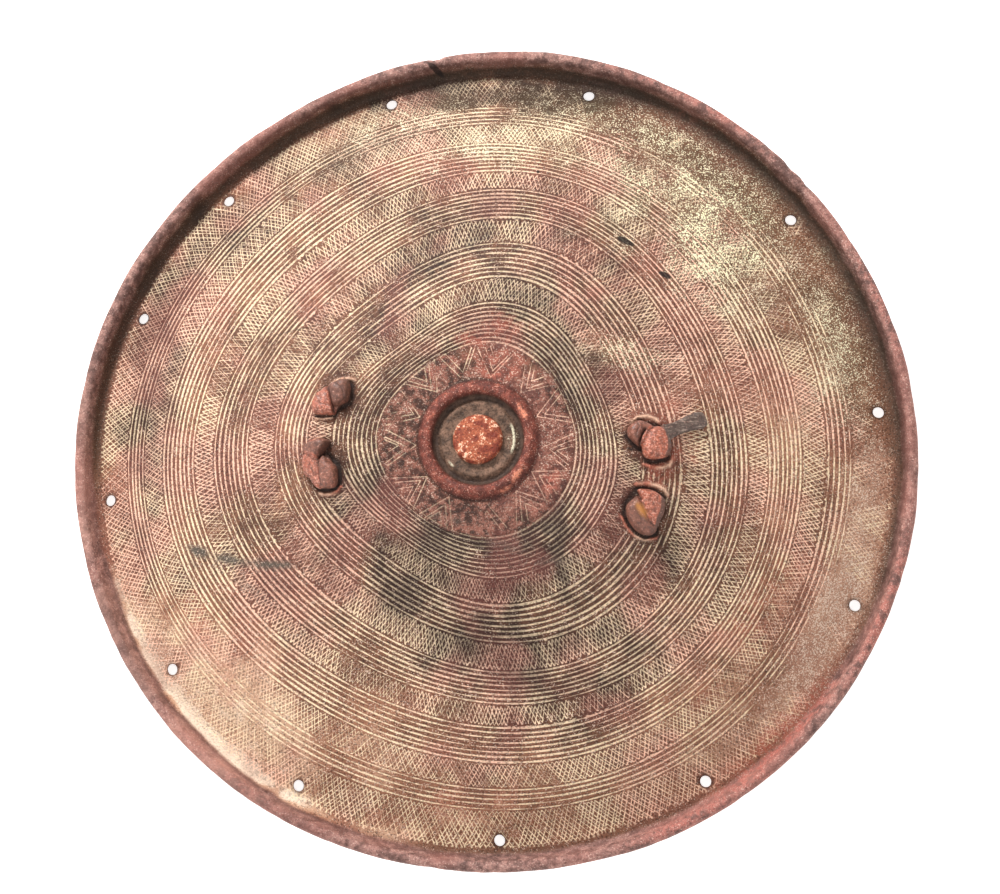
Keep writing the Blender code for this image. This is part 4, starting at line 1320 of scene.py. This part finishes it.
# Spots in millimetres from the boss axis: x, y, turn in degrees, half sizes, ragged, soft, strength
hideSpots = {
    # Dark spots below and to the lower right of the boss are partly painted shade of slopes that face away
    # from the light
    "dark": ((9, -40, -10, 40, 17, 0.35, 0.9, 1.3), (-90, -62, 0, 38, 14, 0.3, 1.0, 0.45),
             (60, -92, 30, 60, 34, 0.5, 1.0, 0.35),
             (-106, -50, -12, 26, 8, 0.4, 1.0, 0.4),
             (32, -36, -40, 22, 15, 0.4, 0.9, 0.8), (-40, 50, 40, 30, 18, 0.5, 1.0, 0.3),
             (-8, 148, 0, 40, 10, 0.5, 1.0, 0.28), (60, 70, -45, 40, 14, 0.5, 1.0, 0.2),
             (-4, 160, 0, 95, 13, 0.3, 0.8, 1.25), (8, -84, 0, 46, 26, 0.3, 1.0, 0.75),
             (6, -62, 0, 26, 14, 0.3, 1.0, 0.55), (-112, 104, 42, 84, 22, 0.3, 1.0, 0.85),
             (-148, 12, 85, 90, 26, 0.3, 1.0, 0.85), (-19, 80, 20, 30, 18, 0.3, 1.0, 0.70),
             (92, 126, -40, 40, 20, 0.3, 1.0, 0.35), (4, 108, 0, 64, 30, 0.3, 1.0, 0.45),
             (-40, -62, -20, 28, 14, 0.3, 1.0, 0.55), (36, -86, 15, 28, 14, 0.3, 1.0, 0.6),
             (-132, -58, -70, 40, 14, 0.3, 1.0, 0.6), (-176, 0, 90, 8, 3, 0.3, 1.0, 0.2),
             (0, 181, 0, 80, 5, 0.3, 1.0, 0.3)),
    "smear": ((-124, -42, -20, 10, 3.4, 0.2, 0.8, 1.1), (-108, -46.4, -12, 15, 3.0, 0.2, 0.8, 1.1),
              (-90, -49.4, -4, 15, 2.6, 0.2, 0.8, 1.1), (-126, -47, -40, 7, 3.0, 0.2, 0.9, 0.7),
              (-104, -56, -40, 16, 4.0, 0.3, 1.0, 0.5),
              (-8, -34, -6, 14, 3.0, 0.4, 1.0, 0.5), (12, -45, -14, 16, 3.2, 0.4, 1.0, 0.5),
              (36, -51, 4, 14, 2.6, 0.4, 1.0, 0.45)),
    # Pale spots are partly wear and partly painted sheen and glare, with painted highlights on the boss ring
    "paleWearAndHighlight": ((-118, -102, -45, 92, 44, 0.3, 1.0, 1.45), (-140, -84, -62, 50, 12, 0.3, 1.0, 1.4),
             (-78, 18, 84, 42, 12, 0.5, 1.0, 0.55), (0, 122, 0, 70, 20, 0.5, 1.0, 0.45),
             (128, 12, 80, 70, 30, 0.5, 1.0, 0.55), (108, -96, 46, 70, 34, 0.5, 1.0, 0.6),
             (64, 8, 60, 24, 14, 0.3, 1.0, 0.7), (-46, -108, 10, 26, 14, 0.3, 1.0, 0.6),
             (-60, -122, -28, 52, 20, 0.3, 1.0, 0.55),
             (92, 22, 60, 44, 20, 0.3, 1.0, 0.65), (-46, 32, 50, 24, 10, 0.3, 1.0, 0.5),
             (-102, -2, 88, 34, 12, 0.3, 1.0, 0.45), (-178, -6, 92, 90, 6, 0.3, 1.0, 0.8),
             (52, 43, -22, 22, 8, 0.4, 0.9, 0.8), (-126, 30, 80, 60, 14, 0.5, 1.0, 0.45),
             (96, 104, -45, 60, 30, 0.5, 1.0, 0.45), (158, 25, 80, 7, 3.2, 0.5, 0.8, 0.8),
             (-30, -158, 12, 55, 6, 0.5, 1.0, 0.4), (-96, 112, 48, 40, 16, 0.5, 1.0, 0.3),
             (22, 31, -40, 14, 7, 0.5, 1.0, 0.6), (-4, 38, 0, 14, 5, 0.5, 1.0, 0.5),
             (19, 11, -62, 9, 3.0, 0.3, 0.9, 0.9), (16, -16, 45, 11, 3.4, 0.3, 0.9, 0.9),
             (-2, 22.5, 4, 8, 2.2, 0.3, 0.9, 0.6), (15.0, 1, 85, 12, 3.5, 0.3, 0.9, 0.8),
             (-11, -10.5, -45, 5, 2.5, 0.3, 0.9, 0.7)),
    "red": ((74, -12, 80, 26, 14, 0.5, 1.0, 0.6), (115, -128, 45, 30, 9, 0.5, 0.9, 0.8),
            (-4, 43, 0, 12, 6, 0.5, 0.9, 0.6), (29, -18, 70, 13, 5, 0.6, 0.9, 0.9),
            (2, 28, -4, 15, 3.5, 0.5, 0.9, 0.9),
            (12, 33, -10, 16, 7, 0.6, 1.0, 0.5), (-14, 34, 30, 10, 5, 0.6, 1.0, 0.4),
            (12, 48, 0, 18, 8, 0.6, 1.0, 0.5), (-122, -72, -70, 30, 8, 0.6, 1.0, 0.4),
            (112, -74, 60, 38, 10, 0.6, 1.0, 0.35), (-66, 2, 90, 14, 8, 0.6, 1.0, 0.45),
            (-20, -150, 0, 40, 8, 0.6, 1.0, 0.3), (60, 72, 30, 30, 12, 0.6, 1.0, 0.25)),
    "fleck": ((92, 98, -45, 92, 46, 0.3, 1.0, 1.0), (58, 40, -30, 24, 12, 0.4, 1.0, 0.7),
              (10, 142, 0, 60, 22, 0.4, 1.0, 0.7), (150, 44, 75, 56, 18, 0.4, 1.0, 0.7)),
    "black": ((59.2, 88.6, -28, 5.0, 1.5, 0.16, 0.35, 0.9), (76.1, 73.7, -30, 3.3, 1.4, 0.16, 0.35, 0.92),
              (20.9, 120.5, 0, 0.9, 0.8, 0.1, 0.4, 0.9), (-27.2, 172.2, -38, 5.4, 1.6, 0.16, 0.4, 0.85),
              (-78, 52, 9.5, 24, 0.35, 0.05, 0.5, 0.5)),
    "yellow": ((68.8, -30.1, -56.15, 5.2, 2.3, 0.4, 0.9, 0.8),),
}


# The same along the edge: angle and half width in degrees, radius and half width in millimetres, strength
hideArcs = {
    "paleWearAndHighlight": ((338, 34, 160, 15, 1.35), (14, 14, 150, 18, 0.6)),
    "red": ((317, 20, 171, 8, 1.0), (298, 14, 177, 6, 0.7), (338, 18, 178, 5, 0.7), (22, 16, 179, 5, 0.5),
            (60, 26, 179, 4, 0.5), (232, 16, 178, 5, 0.35)),
    "dark": ((346, 14, 173, 4, 0.9), (331, 5, 173, 4, 1.0), (8, 22, 174, 4, 0.8), (206, 16, 178, 5, 0.7),
             (238, 20, 178, 4, 0.5), (168, 14, 177, 4, 0.4), (120, 26, 176, 4, 0.5),
             (152, 28, 158, 18, 0.9), (196, 16, 154, 16, 0.7), (112, 26, 148, 16, 0.7)),
    "fleck": ((56, 58, 155, 22, 0.85), (20, 26, 156, 20, 0.8), (104, 26, 152, 22, 0.75)),
    # Painted highlight on the lit valley wall at the lower left
    "valleyHighlight": ((222, 42, 169.5, 5, 1.0),),
    "worn": ((336, 34, 160, 16, 1.0), (212, 30, 166, 8, 0.5)),
}
# Where the rim begins, in millimetres, and how much painted shade lies in the valley inside it, by degrees
# round the shield
rimStart = {
    "edgeAt": (0, 60, 170, 188, 200, 215, 232, 252, 275, 300, 330, 360),
    "edge": (172.2, 173.4, 173.2, 171.6, 170.4, 171.4, 171.8, 171.2, 170.8, 170.6, 170.8, 172.2),
    # How strong the painted shade along the foot of the rim is, by degrees round the shield
    "footShadeAt": (0, 120, 170, 190, 200, 240, 275, 300, 340, 360),
    "foot": (1, 1, 0.35, 0.4, 1, 1, 0.5, 0.3, 0.8, 1),
    # Painted shade in the valley inside the rim, by degrees, and the radius it lies about
    "paintedValleyShadeAt": (0, 20, 90, 120, 178, 192, 246, 262, 300, 340, 360),
    "paintedValleyShade": (0.8, 1.0, 1.0, 0.95, 0.8, 0.0, 0.0, 0.5, 0.5, 0.65, 0.8),
    "paintedValleyShadeRadius": 0.1728,
    "ragged": 0.0025,
}


def ovalCover(x, y, push, spot):
    midX, midY, turn, half, short, ragged, soft, strength = spot
    c, s = polar(1.0, math.radians(turn))
    dx, dy = x - midX * mm, y - midY * mm
    reach = np.hypot((dx * c + dy * s) / (half * mm), (dy * c - dx * s) / (short * mm))
    return strength * (1 - stepUp(1 - soft, 1.0, reach + push * ragged))


def arcCover(angle, rho, push, arc):
    middle, half, radius, reach, strength = arc
    away = np.abs((angle - middle + 180) % 360 - 180) / half
    return strength * (1 - stepUp(0.1, 1.0, np.hypot(away, (rho * 1000 - radius) / reach) + push * 0.09))


def addSpotValues(mesh):
    # Clouds of tone and each kind of spot as one value a point; the material breaks up their edges
    x, y, _ = (readPoints(mesh) - (*form["axis"], 0.0)).T
    rho = np.zeros(len(x))
    mesh.attributes["rho"].data.foreach_get("value", rho)
    angle = np.degrees(np.arctan2(y, x)) % 360
    values = {"broad": softNoise(x, y, 0.040, 71), "patch": softNoise(x, y, 0.012, 72),
              "mauve": softNoise(x, y, 0.026, 73)}
    push = (softNoise(x, y, 0.014, 81) - 0.5) * 5.0
    for kind in ("dark", "smear", "paleWearAndHighlight", "red", "fleck", "valleyHighlight", "worn"):
        total = np.zeros(len(x))
        for spot in hideSpots.get(kind, ()):
            total = np.maximum(total, ovalCover(x, y, push, spot))
        for arc in hideArcs.get(kind, ()):
            total = np.maximum(total, arcCover(angle, rho, push, arc))
        values[kind] = total

    # Painted shade lies in the valley inside the rim, but not at the lower left
    past = rho - rimStart["paintedValleyShadeRadius"]
    values["valleyShade"] = (np.interp(angle, rimStart["paintedValleyShadeAt"], rimStart["paintedValleyShade"])
                        * stepUp(np.where(angle < 130, -0.0095, -0.0060), -0.0010, past)
                        * (1 - stepUp(0.0004, 0.0026, past)))
    past = (rho + (values["patch"] - 0.5) * rimStart["ragged"]
            - mm * np.interp(angle, rimStart["edgeAt"], rimStart["edge"]))
    values["onRim"] = stepUp(0.0, 0.0018, past)
    # Painted shade along the foot of the rim
    values["foot"] = (values["onRim"] * (1 - stepUp(0.0010, 0.0038, past))
                      * np.interp(angle, rimStart["footShadeAt"], rimStart["foot"]))
    addValues(mesh, values)


def spotMask(graph, place, push, spot):
    x, y, turn, half, short, ragged, soft, strength = spot
    mask = graph.group(spotGroup, Place=place, X=x * mm + form["axis"][0], Y=y * mm + form["axis"][1],
                       Turn=math.radians(turn), Long=half * mm, Short=short * mm, Push=push, Ragged=ragged,
                       Soft=soft)
    return graph.times(mask, strength)


# Radii where one part of the front passes into the next, from the boss disc outward
zones = {
    "disc": (0.0103, 0.0108),
    "floorLineStart": (0.0145, 0.0150),
    "floorLineEnd": (0.0154, 0.0160),
    "floorEdge": (0.0160, 0.0174),
    "ring": (0.0189, 0.0197),
    "ringFoot": (0.0192, 0.0206),
    "ringOutside": (0.0240, 0.0258),
    "boss": (0.0248, 0.0264),
    "chevronsStart": (0.0258, 0.0270),
    "chevronsEnd": (0.039, 0.043),
}


def makeBossTone(graph, rho, fine, grit, grains, pits, paleWearAndHighlight):
    # Red brown with orange where it is rubbed and where highlights are painted on the ring, painted shade in
    # the trough and at the feet of the ring, a dark floor, and cream flecks on the disc
    floorTone = graph.mix(graph.step(fine, 0.3, 0.7), (0.06, 0.036, 0.024), (0.27, 0.155, 0.104))
    # Painted shade in the trough inside the ring
    floorTone = graph.coat(floorTone, (0.045, 0.026, 0.02), graph.beyond(rho, "floorEdge"), 0.72)
    floorLine = graph.times(graph.beyond(rho, "floorLineStart"), graph.within(rho, "floorLineEnd"))
    floorSpecks = graph.times(graph.larger(floorLine, grains), graph.step(paleWearAndHighlight, 0.1, 0.6))
    floorTone = graph.coat(floorTone, (0.8, 0.72, 0.52), floorSpecks)
    ringTone = graph.mix(graph.step(fine, 0.32, 0.68), (0.13, 0.038, 0.028), (0.3, 0.08, 0.054))
    rubbedAndHighlit = graph.step(graph.plus(fine, graph.times(paleWearAndHighlight, 0.35)), 0.58, 0.86)
    ringTone = graph.coat(ringTone, (0.8, 0.28, 0.17), rubbedAndHighlit)
    ringTone = graph.coat(ringTone, (0.95, 0.55, 0.42), grains, 0.5)
    # Painted shade at the inner and outer feet of the ring
    ringFootShade = graph.larger(graph.within(rho, "ringFoot"), graph.beyond(rho, "ringOutside"))
    ringTone = graph.coat(ringTone, (0.05, 0.018, 0.014), ringFootShade, 0.62)
    discTone = graph.mix(graph.step(fine, 0.36, 0.64), (0.22, 0.042, 0.024), (0.58, 0.165, 0.08))
    discFlecks = graph.step(graph.plus(fine, graph.times(grit, 0.6)), 0.89, 0.98)
    discTone = graph.coat(discTone, (1.0, 0.68, 0.48), discFlecks, 0.85)
    bossTone = graph.mix(graph.beyond(rho, "ring"), floorTone, ringTone)
    bossTone = graph.coat(bossTone, discTone, graph.within(rho, "disc"))
    return graph.coat(bossTone, (0.035, 0.014, 0.01), pits, 0.55)


def makeRimTone(graph, fine, broad, redMask, grains, pits, dark, paleWearAndHighlight):
    # Mauve and pink brown, rubbed along the lip, with painted shade along its foot
    rimTone = graph.mix(graph.step(fine, 0.34, 0.66), (0.15, 0.078, 0.066), (0.44, 0.235, 0.195))
    rimTone = graph.coat(rimTone, (0.42, 0.17, 0.135), graph.step(broad, 0.44, 0.66, 0.0, 0.5))
    rimTone = graph.coat(rimTone, (0.52, 0.13, 0.095), redMask, 0.8)
    rimTone = graph.coat(rimTone, (0.92, 0.66, 0.56), grains, 0.45)
    rimTone = graph.coat(rimTone, (0.05, 0.022, 0.018), pits, 0.4)
    rimTone = graph.coat(rimTone, (0.085, 0.034, 0.027), dark, 0.55)
    rimTone = graph.coat(rimTone, (0.66, 0.36, 0.28), paleWearAndHighlight, 0.3)
    return graph.coat(rimTone, (0.06, 0.026, 0.02), graph.value("foot"), 0.7)


def makeHideMaterial():
    material, graph, shader = newMaterial("worked_hide")
    place = graph.node("ShaderNodeTexCoord").outputs["Object"]
    cut, rho, lip, gap, back = graph.values("cut", "rho", "lip", "gap", "back")
    dark, paleWearAndHighlight, red, fleck, smear = graph.values("dark", "paleWearAndHighlight", "red", "fleck", "smear")
    valleyShade, valleyHighlight, worn = graph.values("valleyShade", "valleyHighlight", "worn")
    broad, patch, mauve = graph.values("broad", "patch", "mauve")
    fine = graph.noise(place, 280.0, 3.0, 0.65)
    grit = graph.noise(place, 1250.0, 1.0, 0.5)

    # How light the hide is here: dark round the boss, pale where it was handled and where sheen and glare
    # are painted, and bright along the painted highlight at the lower left
    light = graph.curve(graph.math("DIVIDE", rho, driftRadii[-1]),
                        ((0.0, 0.30), (0.18, 0.25), (0.215, 0.24), (0.30, 0.34), (0.42, 0.46), (0.62, 0.56),
                         (0.80, 0.74), (0.90, 0.80), (0.932, 0.50), (1.0, 0.44)))
    for cloud, size in ((broad, 0.55), (patch, 0.4), (fine, 0.7)):
        light = graph.plus(light, graph.sway(cloud, size))
    # Dark spots partly paint shade, pale spots partly paint sheen and glare, and the valley highlight is
    # painted light
    for mask, size in ((dark, -0.6), (paleWearAndHighlight, 0.6), (valleyHighlight, 1.3)):
        light = graph.plus(light, graph.times(mask, size))
    skin = graph.mix(graph.step(light, 0.0, 1.1), (0.028, 0.011, 0.007), (0.34, 0.146, 0.084))
    skin = graph.coat(skin, (0.62, 0.37, 0.24), graph.step(light, 0.85, 1.5))
    skin = graph.coat(skin, (0.95, 0.76, 0.58), graph.step(light, 1.5, 2.1))
    skin = graph.coat(skin, (0.25, 0.076, 0.06), graph.step(mauve, 0.44, 0.72, 0.0, 0.42))
    nearBoss = graph.times(graph.within(rho, "chevronsEnd"), graph.beyond(rho, "chevronsStart"))
    skin = graph.coat(skin, (0.29, 0.112, 0.078), nearBoss, graph.step(fine, 0.4, 0.6, 0.1, 0.9))
    skin = graph.coat(skin, (0.04, 0.017, 0.012), graph.step(cut, -0.05, -0.5, 0.0, 0.5))
    skin = graph.coat(skin, (0.145, 0.09, 0.048), fleck, 0.7)
    skin = graph.coat(skin, (0.47, 0.245, 0.165), worn, 0.72)
    pitShare = graph.step(graph.larger(valleyHighlight, worn), 0.1, 0.9, 1.0, 0.35)
    pits = graph.times(graph.step(grit, 0.46, 0.32), pitShare)
    skin = graph.coat(skin, (0.03, 0.013, 0.01), pits, 0.6)

    # Cut lines lay the pale inner hide bare, less where they are dirty
    edge = graph.plus(0.4, graph.sway(fine, 0.55))
    line = graph.step(cut, edge, graph.plus(edge, 0.24))
    fresh = graph.step(light, -0.2, 0.72, 0.24, 1.0)
    fresh = graph.times(fresh, graph.step(grit, 0.34, 0.58, 0.52, 1.0))
    inner = graph.mix(graph.step(mauve, 0.42, 0.68), (1.0, 0.77, 0.51), (1.0, 0.61, 0.44))
    skin = graph.coat(skin, inner, graph.times(line, fresh))
    skin = graph.coat(skin, (0.045, 0.022, 0.016), pits, 0.22)

    # Red earth, bright grains, and pale yellow flecks at the upper right
    redMask = graph.times(red, graph.step(fine, 0.38, 0.6, 0.1, 1.0))
    skin = graph.coat(skin, (0.48, 0.115, 0.075), redMask, 0.75)
    skin = graph.coat(skin, (0.095, 0.075, 0.058), smear, graph.step(fine, 0.3, 0.6, 0.6, 1.0))
    sparks = graph.plus(graph.noise(place, 1550.0, 1.5, 0.75), graph.sway(fine, 0.3))
    often = graph.times(fleck, graph.step(patch, 0.4, 0.6, 0.6, 1.0))
    often = graph.plus(graph.times(often, 0.1), graph.times(nearBoss, 0.018))
    often = graph.plus(often, graph.times(worn, 0.095))
    grains = graph.step(sparks, graph.minus(0.6, often), graph.minus(0.67, often))
    grainShare = graph.plus(0.6, graph.times(fleck, 0.38))
    grainTone = graph.mix(fleck, (1.0, 0.76, 0.6), (1.0, 0.93, 0.62))
    grainTone = graph.coat(grainTone, (1.0, 0.82, 0.66), worn)
    grainShare = graph.times(grainShare, graph.step(light, -0.1, 0.6, 0.35, 1.0))
    skin = graph.coat(skin, grainTone, graph.times(grains, grainShare))
    # Painted shade in the valley inside the rim
    paintedValleyShade = graph.times(valleyShade, graph.step(fine, 0.25, 0.6, 0.75, 1.0))
    skin = graph.coat(skin, (0.032, 0.02, 0.013), paintedValleyShade, 0.95)
    bossTone = makeBossTone(graph, rho, fine, grit, grains, pits, paleWearAndHighlight)
    skin = graph.coat(skin, bossTone, graph.within(rho, "boss"))
    rimTone = makeRimTone(graph, fine, broad, redMask, grains, pits, dark, paleWearAndHighlight)
    skin = graph.coat(skin, rimTone, graph.value("onRim"))

    # Lips of the slits are bare and pink; painted shade lies beside the knots and round the rim holes; scars
    # are black
    lipTone = graph.mix(graph.step(patch, 0.42, 0.6), (0.6, 0.2, 0.13), (0.95, 0.6, 0.42))
    skin = graph.coat(skin, lipTone, lip, graph.step(fine, 0.3, 0.55, 0.45, 0.95))
    skin = graph.coat(skin, (0.02, 0.011, 0.009), gap, 0.92)
    push = graph.sway(fine, 3.0)
    black = 0.0
    for spot in hideSpots["black"]:
        black = graph.larger(black, spotMask(graph, place, push, spot))
    skin = graph.coat(skin, (0.012, 0.008, 0.007), black)

    # The back is plain and brown
    rear = graph.mix(graph.step(broad, 0.3, 0.7), (0.11, 0.055, 0.036), (0.27, 0.155, 0.105))
    rear = graph.coat(rear, (0.38, 0.25, 0.18), graph.step(fine, 0.5, 0.8), 0.5)
    skin = graph.coat(skin, rear, back)

    height = graph.plus(graph.group(grainGroup, Place=place, Scale=1.0), graph.times(grit, 1.2))
    roughness = graph.step(graph.plus(fine, graph.times(light, 0.25)), 0.2, 0.95, 0.48, 0.8)
    graph.finish(shader, skin, roughness, height, 0.80, 0.00040)
    shader.inputs["Specular IOR Level"].default_value = 0.24
    return material


def makeThongMaterial():
    material, graph, shader = newMaterial("thong_hide")
    place = graph.node("ShaderNodeTexCoord").outputs["Object"]
    tint, low = graph.values("tint", "low")
    patch = graph.noise(place, 190.0, 4.0, 0.6, 0.5)
    fine = graph.noise(place, 700.0, 4.0, 0.7)
    onTail = graph.step(tint, -0.35, -0.2, 1.0, 0.0)
    tint = graph.plus(tint, graph.sway(patch, 0.7))
    tone = graph.mix(graph.step(tint, -0.1, 0.5), (0.125, 0.062, 0.044), (0.3, 0.112, 0.072))
    tone = graph.coat(tone, (0.5, 0.135, 0.075), graph.step(tint, 0.4, 1.0))

    # The loose end: grey with pale streaks along it
    streaks = graph.fill(graph.node("ShaderNodeMapping"), {"Vector": place, "Rotation": (0.0, 0.0, -0.37),
                                                           "Scale": (180.0, 1300.0, 500.0)})
    pulled = graph.step(graph.noise(streaks, 1.0, 2.0, 0.6), 0.5, 0.72, 0.0, 0.7)
    tailTone = graph.mix(pulled, (0.12, 0.08, 0.064), (0.56, 0.42, 0.33))
    tone = graph.coat(tone, tailTone, onTail)

    # Bright flecks, dark pits, painted shade in the creases and low by the hide, and a yellow spot on the
    # lower right knot
    edge = graph.minus(0.72, graph.times(graph.step(tint, 0.2, 1.0, 0.36, 0.62), 0.34))
    flecks = graph.step(graph.noise(place, 1300.0, 3.0, 0.7), edge, graph.plus(edge, 0.06))
    tone = graph.coat(tone, (0.92, 0.5, 0.38), flecks, 0.55)
    tone = graph.coat(tone, (0.05, 0.022, 0.017), graph.step(fine, 0.6, 0.38), 0.6)
    tone = graph.coat(tone, (0.022, 0.012, 0.01), low, 0.85)
    yellow = spotMask(graph, place, graph.sway(fine, 3.0), hideSpots["yellow"][0])
    tone = graph.coat(tone, (0.66, 0.27, 0.06), yellow)
    grain = graph.group(grainGroup, Place=place, Scale=2.0)
    graph.finish(shader, tone, graph.step(fine, 0.2, 0.8, 0.38, 0.66), grain, 0.6, 0.00025)
    return material


addSpotValues(hide.data)
hide.data.materials.append(makeHideMaterial())
thongs.data.materials.append(makeThongMaterial())
print("materials made")


def makeFloor():
    material, graph, shader = newMaterial("studio_floor")
    place = graph.node("ShaderNodeTexCoord").outputs["Object"]
    cloud = graph.noise(place, 3.0, 2.0, 0.5)
    tone = graph.mix(cloud, (0.93, 0.93, 0.93), (0.96, 0.96, 0.96))
    graph.fill(shader, {"Base Color": tone, "Roughness": 0.9, "Emission Color": (1.0, 1.0, 1.0, 1.0),
                        "Emission Strength": 0.80})
    mesh = bpy.data.meshes.new("floor")
    half = 3.0
    corners = [(-half, -half, 0), (half, -half, 0), (half, half, 0), (-half, half, 0)]
    mesh.from_pydata(corners, [], [(0, 1, 2, 3)])
    floor = bpy.data.objects.new("floor", mesh)
    floor.location.z = -0.0001
    bpy.context.scene.collection.objects.link(floor)
    floor.data.materials.append(material)
    return floor


makeFloor()

lights = (
    # name, place, size, watts
    ("key", (-0.75, 1.75, 1.45), 0.5, 60.0),
    ("fill", (1.3, -1.2, 1.7), 1.6, 17.0),
    ("side", (-1.7, -0.7, 1.2), 1.2, 18.0),
    ("top", (0.1, -0.1, 2.6), 1.8, 8.0),
)
for name, place, size, watts in lights:
    lamp = bpy.data.lights.new(name, "AREA")
    lamp.shape = "DISK"
    lamp.size = size
    lamp.energy = watts
    holder = bpy.data.objects.new(name, lamp)
    holder.location = place
    holder.rotation_mode = "QUATERNION"
    holder.rotation_quaternion = (-Vector(place)).to_track_quat("-Z", "Y")
    bpy.context.scene.collection.objects.link(holder)

world = bpy.data.worlds.new("studio")
world.use_nodes = True
world.node_tree.nodes["Background"].inputs[0].default_value = (1.0, 1.0, 1.0, 1.0)
world.node_tree.nodes["Background"].inputs[1].default_value = 0.30
bpy.context.scene.world = world
bpy.context.scene.view_settings.view_transform = "Standard"

view = {
    "toward": (0.1275, -0.1686, 0.9774),
    "target": (0.00503, 0.00296, 0.02),
    "distance": 2.1316,
    "lens": 180.0,
}
toward = Vector(view["toward"]).normalized()
cameraData = bpy.data.cameras.new("camera")
cameraData.lens = view["lens"]
cameraData.sensor_width = 36.0
camera = bpy.data.objects.new("camera", cameraData)
camera.location = Vector(view["target"]) + toward * view["distance"]
camera.rotation_mode = "QUATERNION"
camera.rotation_quaternion = Vector((0, 0, 1)).rotation_difference(toward)
bpy.context.scene.collection.objects.link(camera)
bpy.context.scene.camera = camera
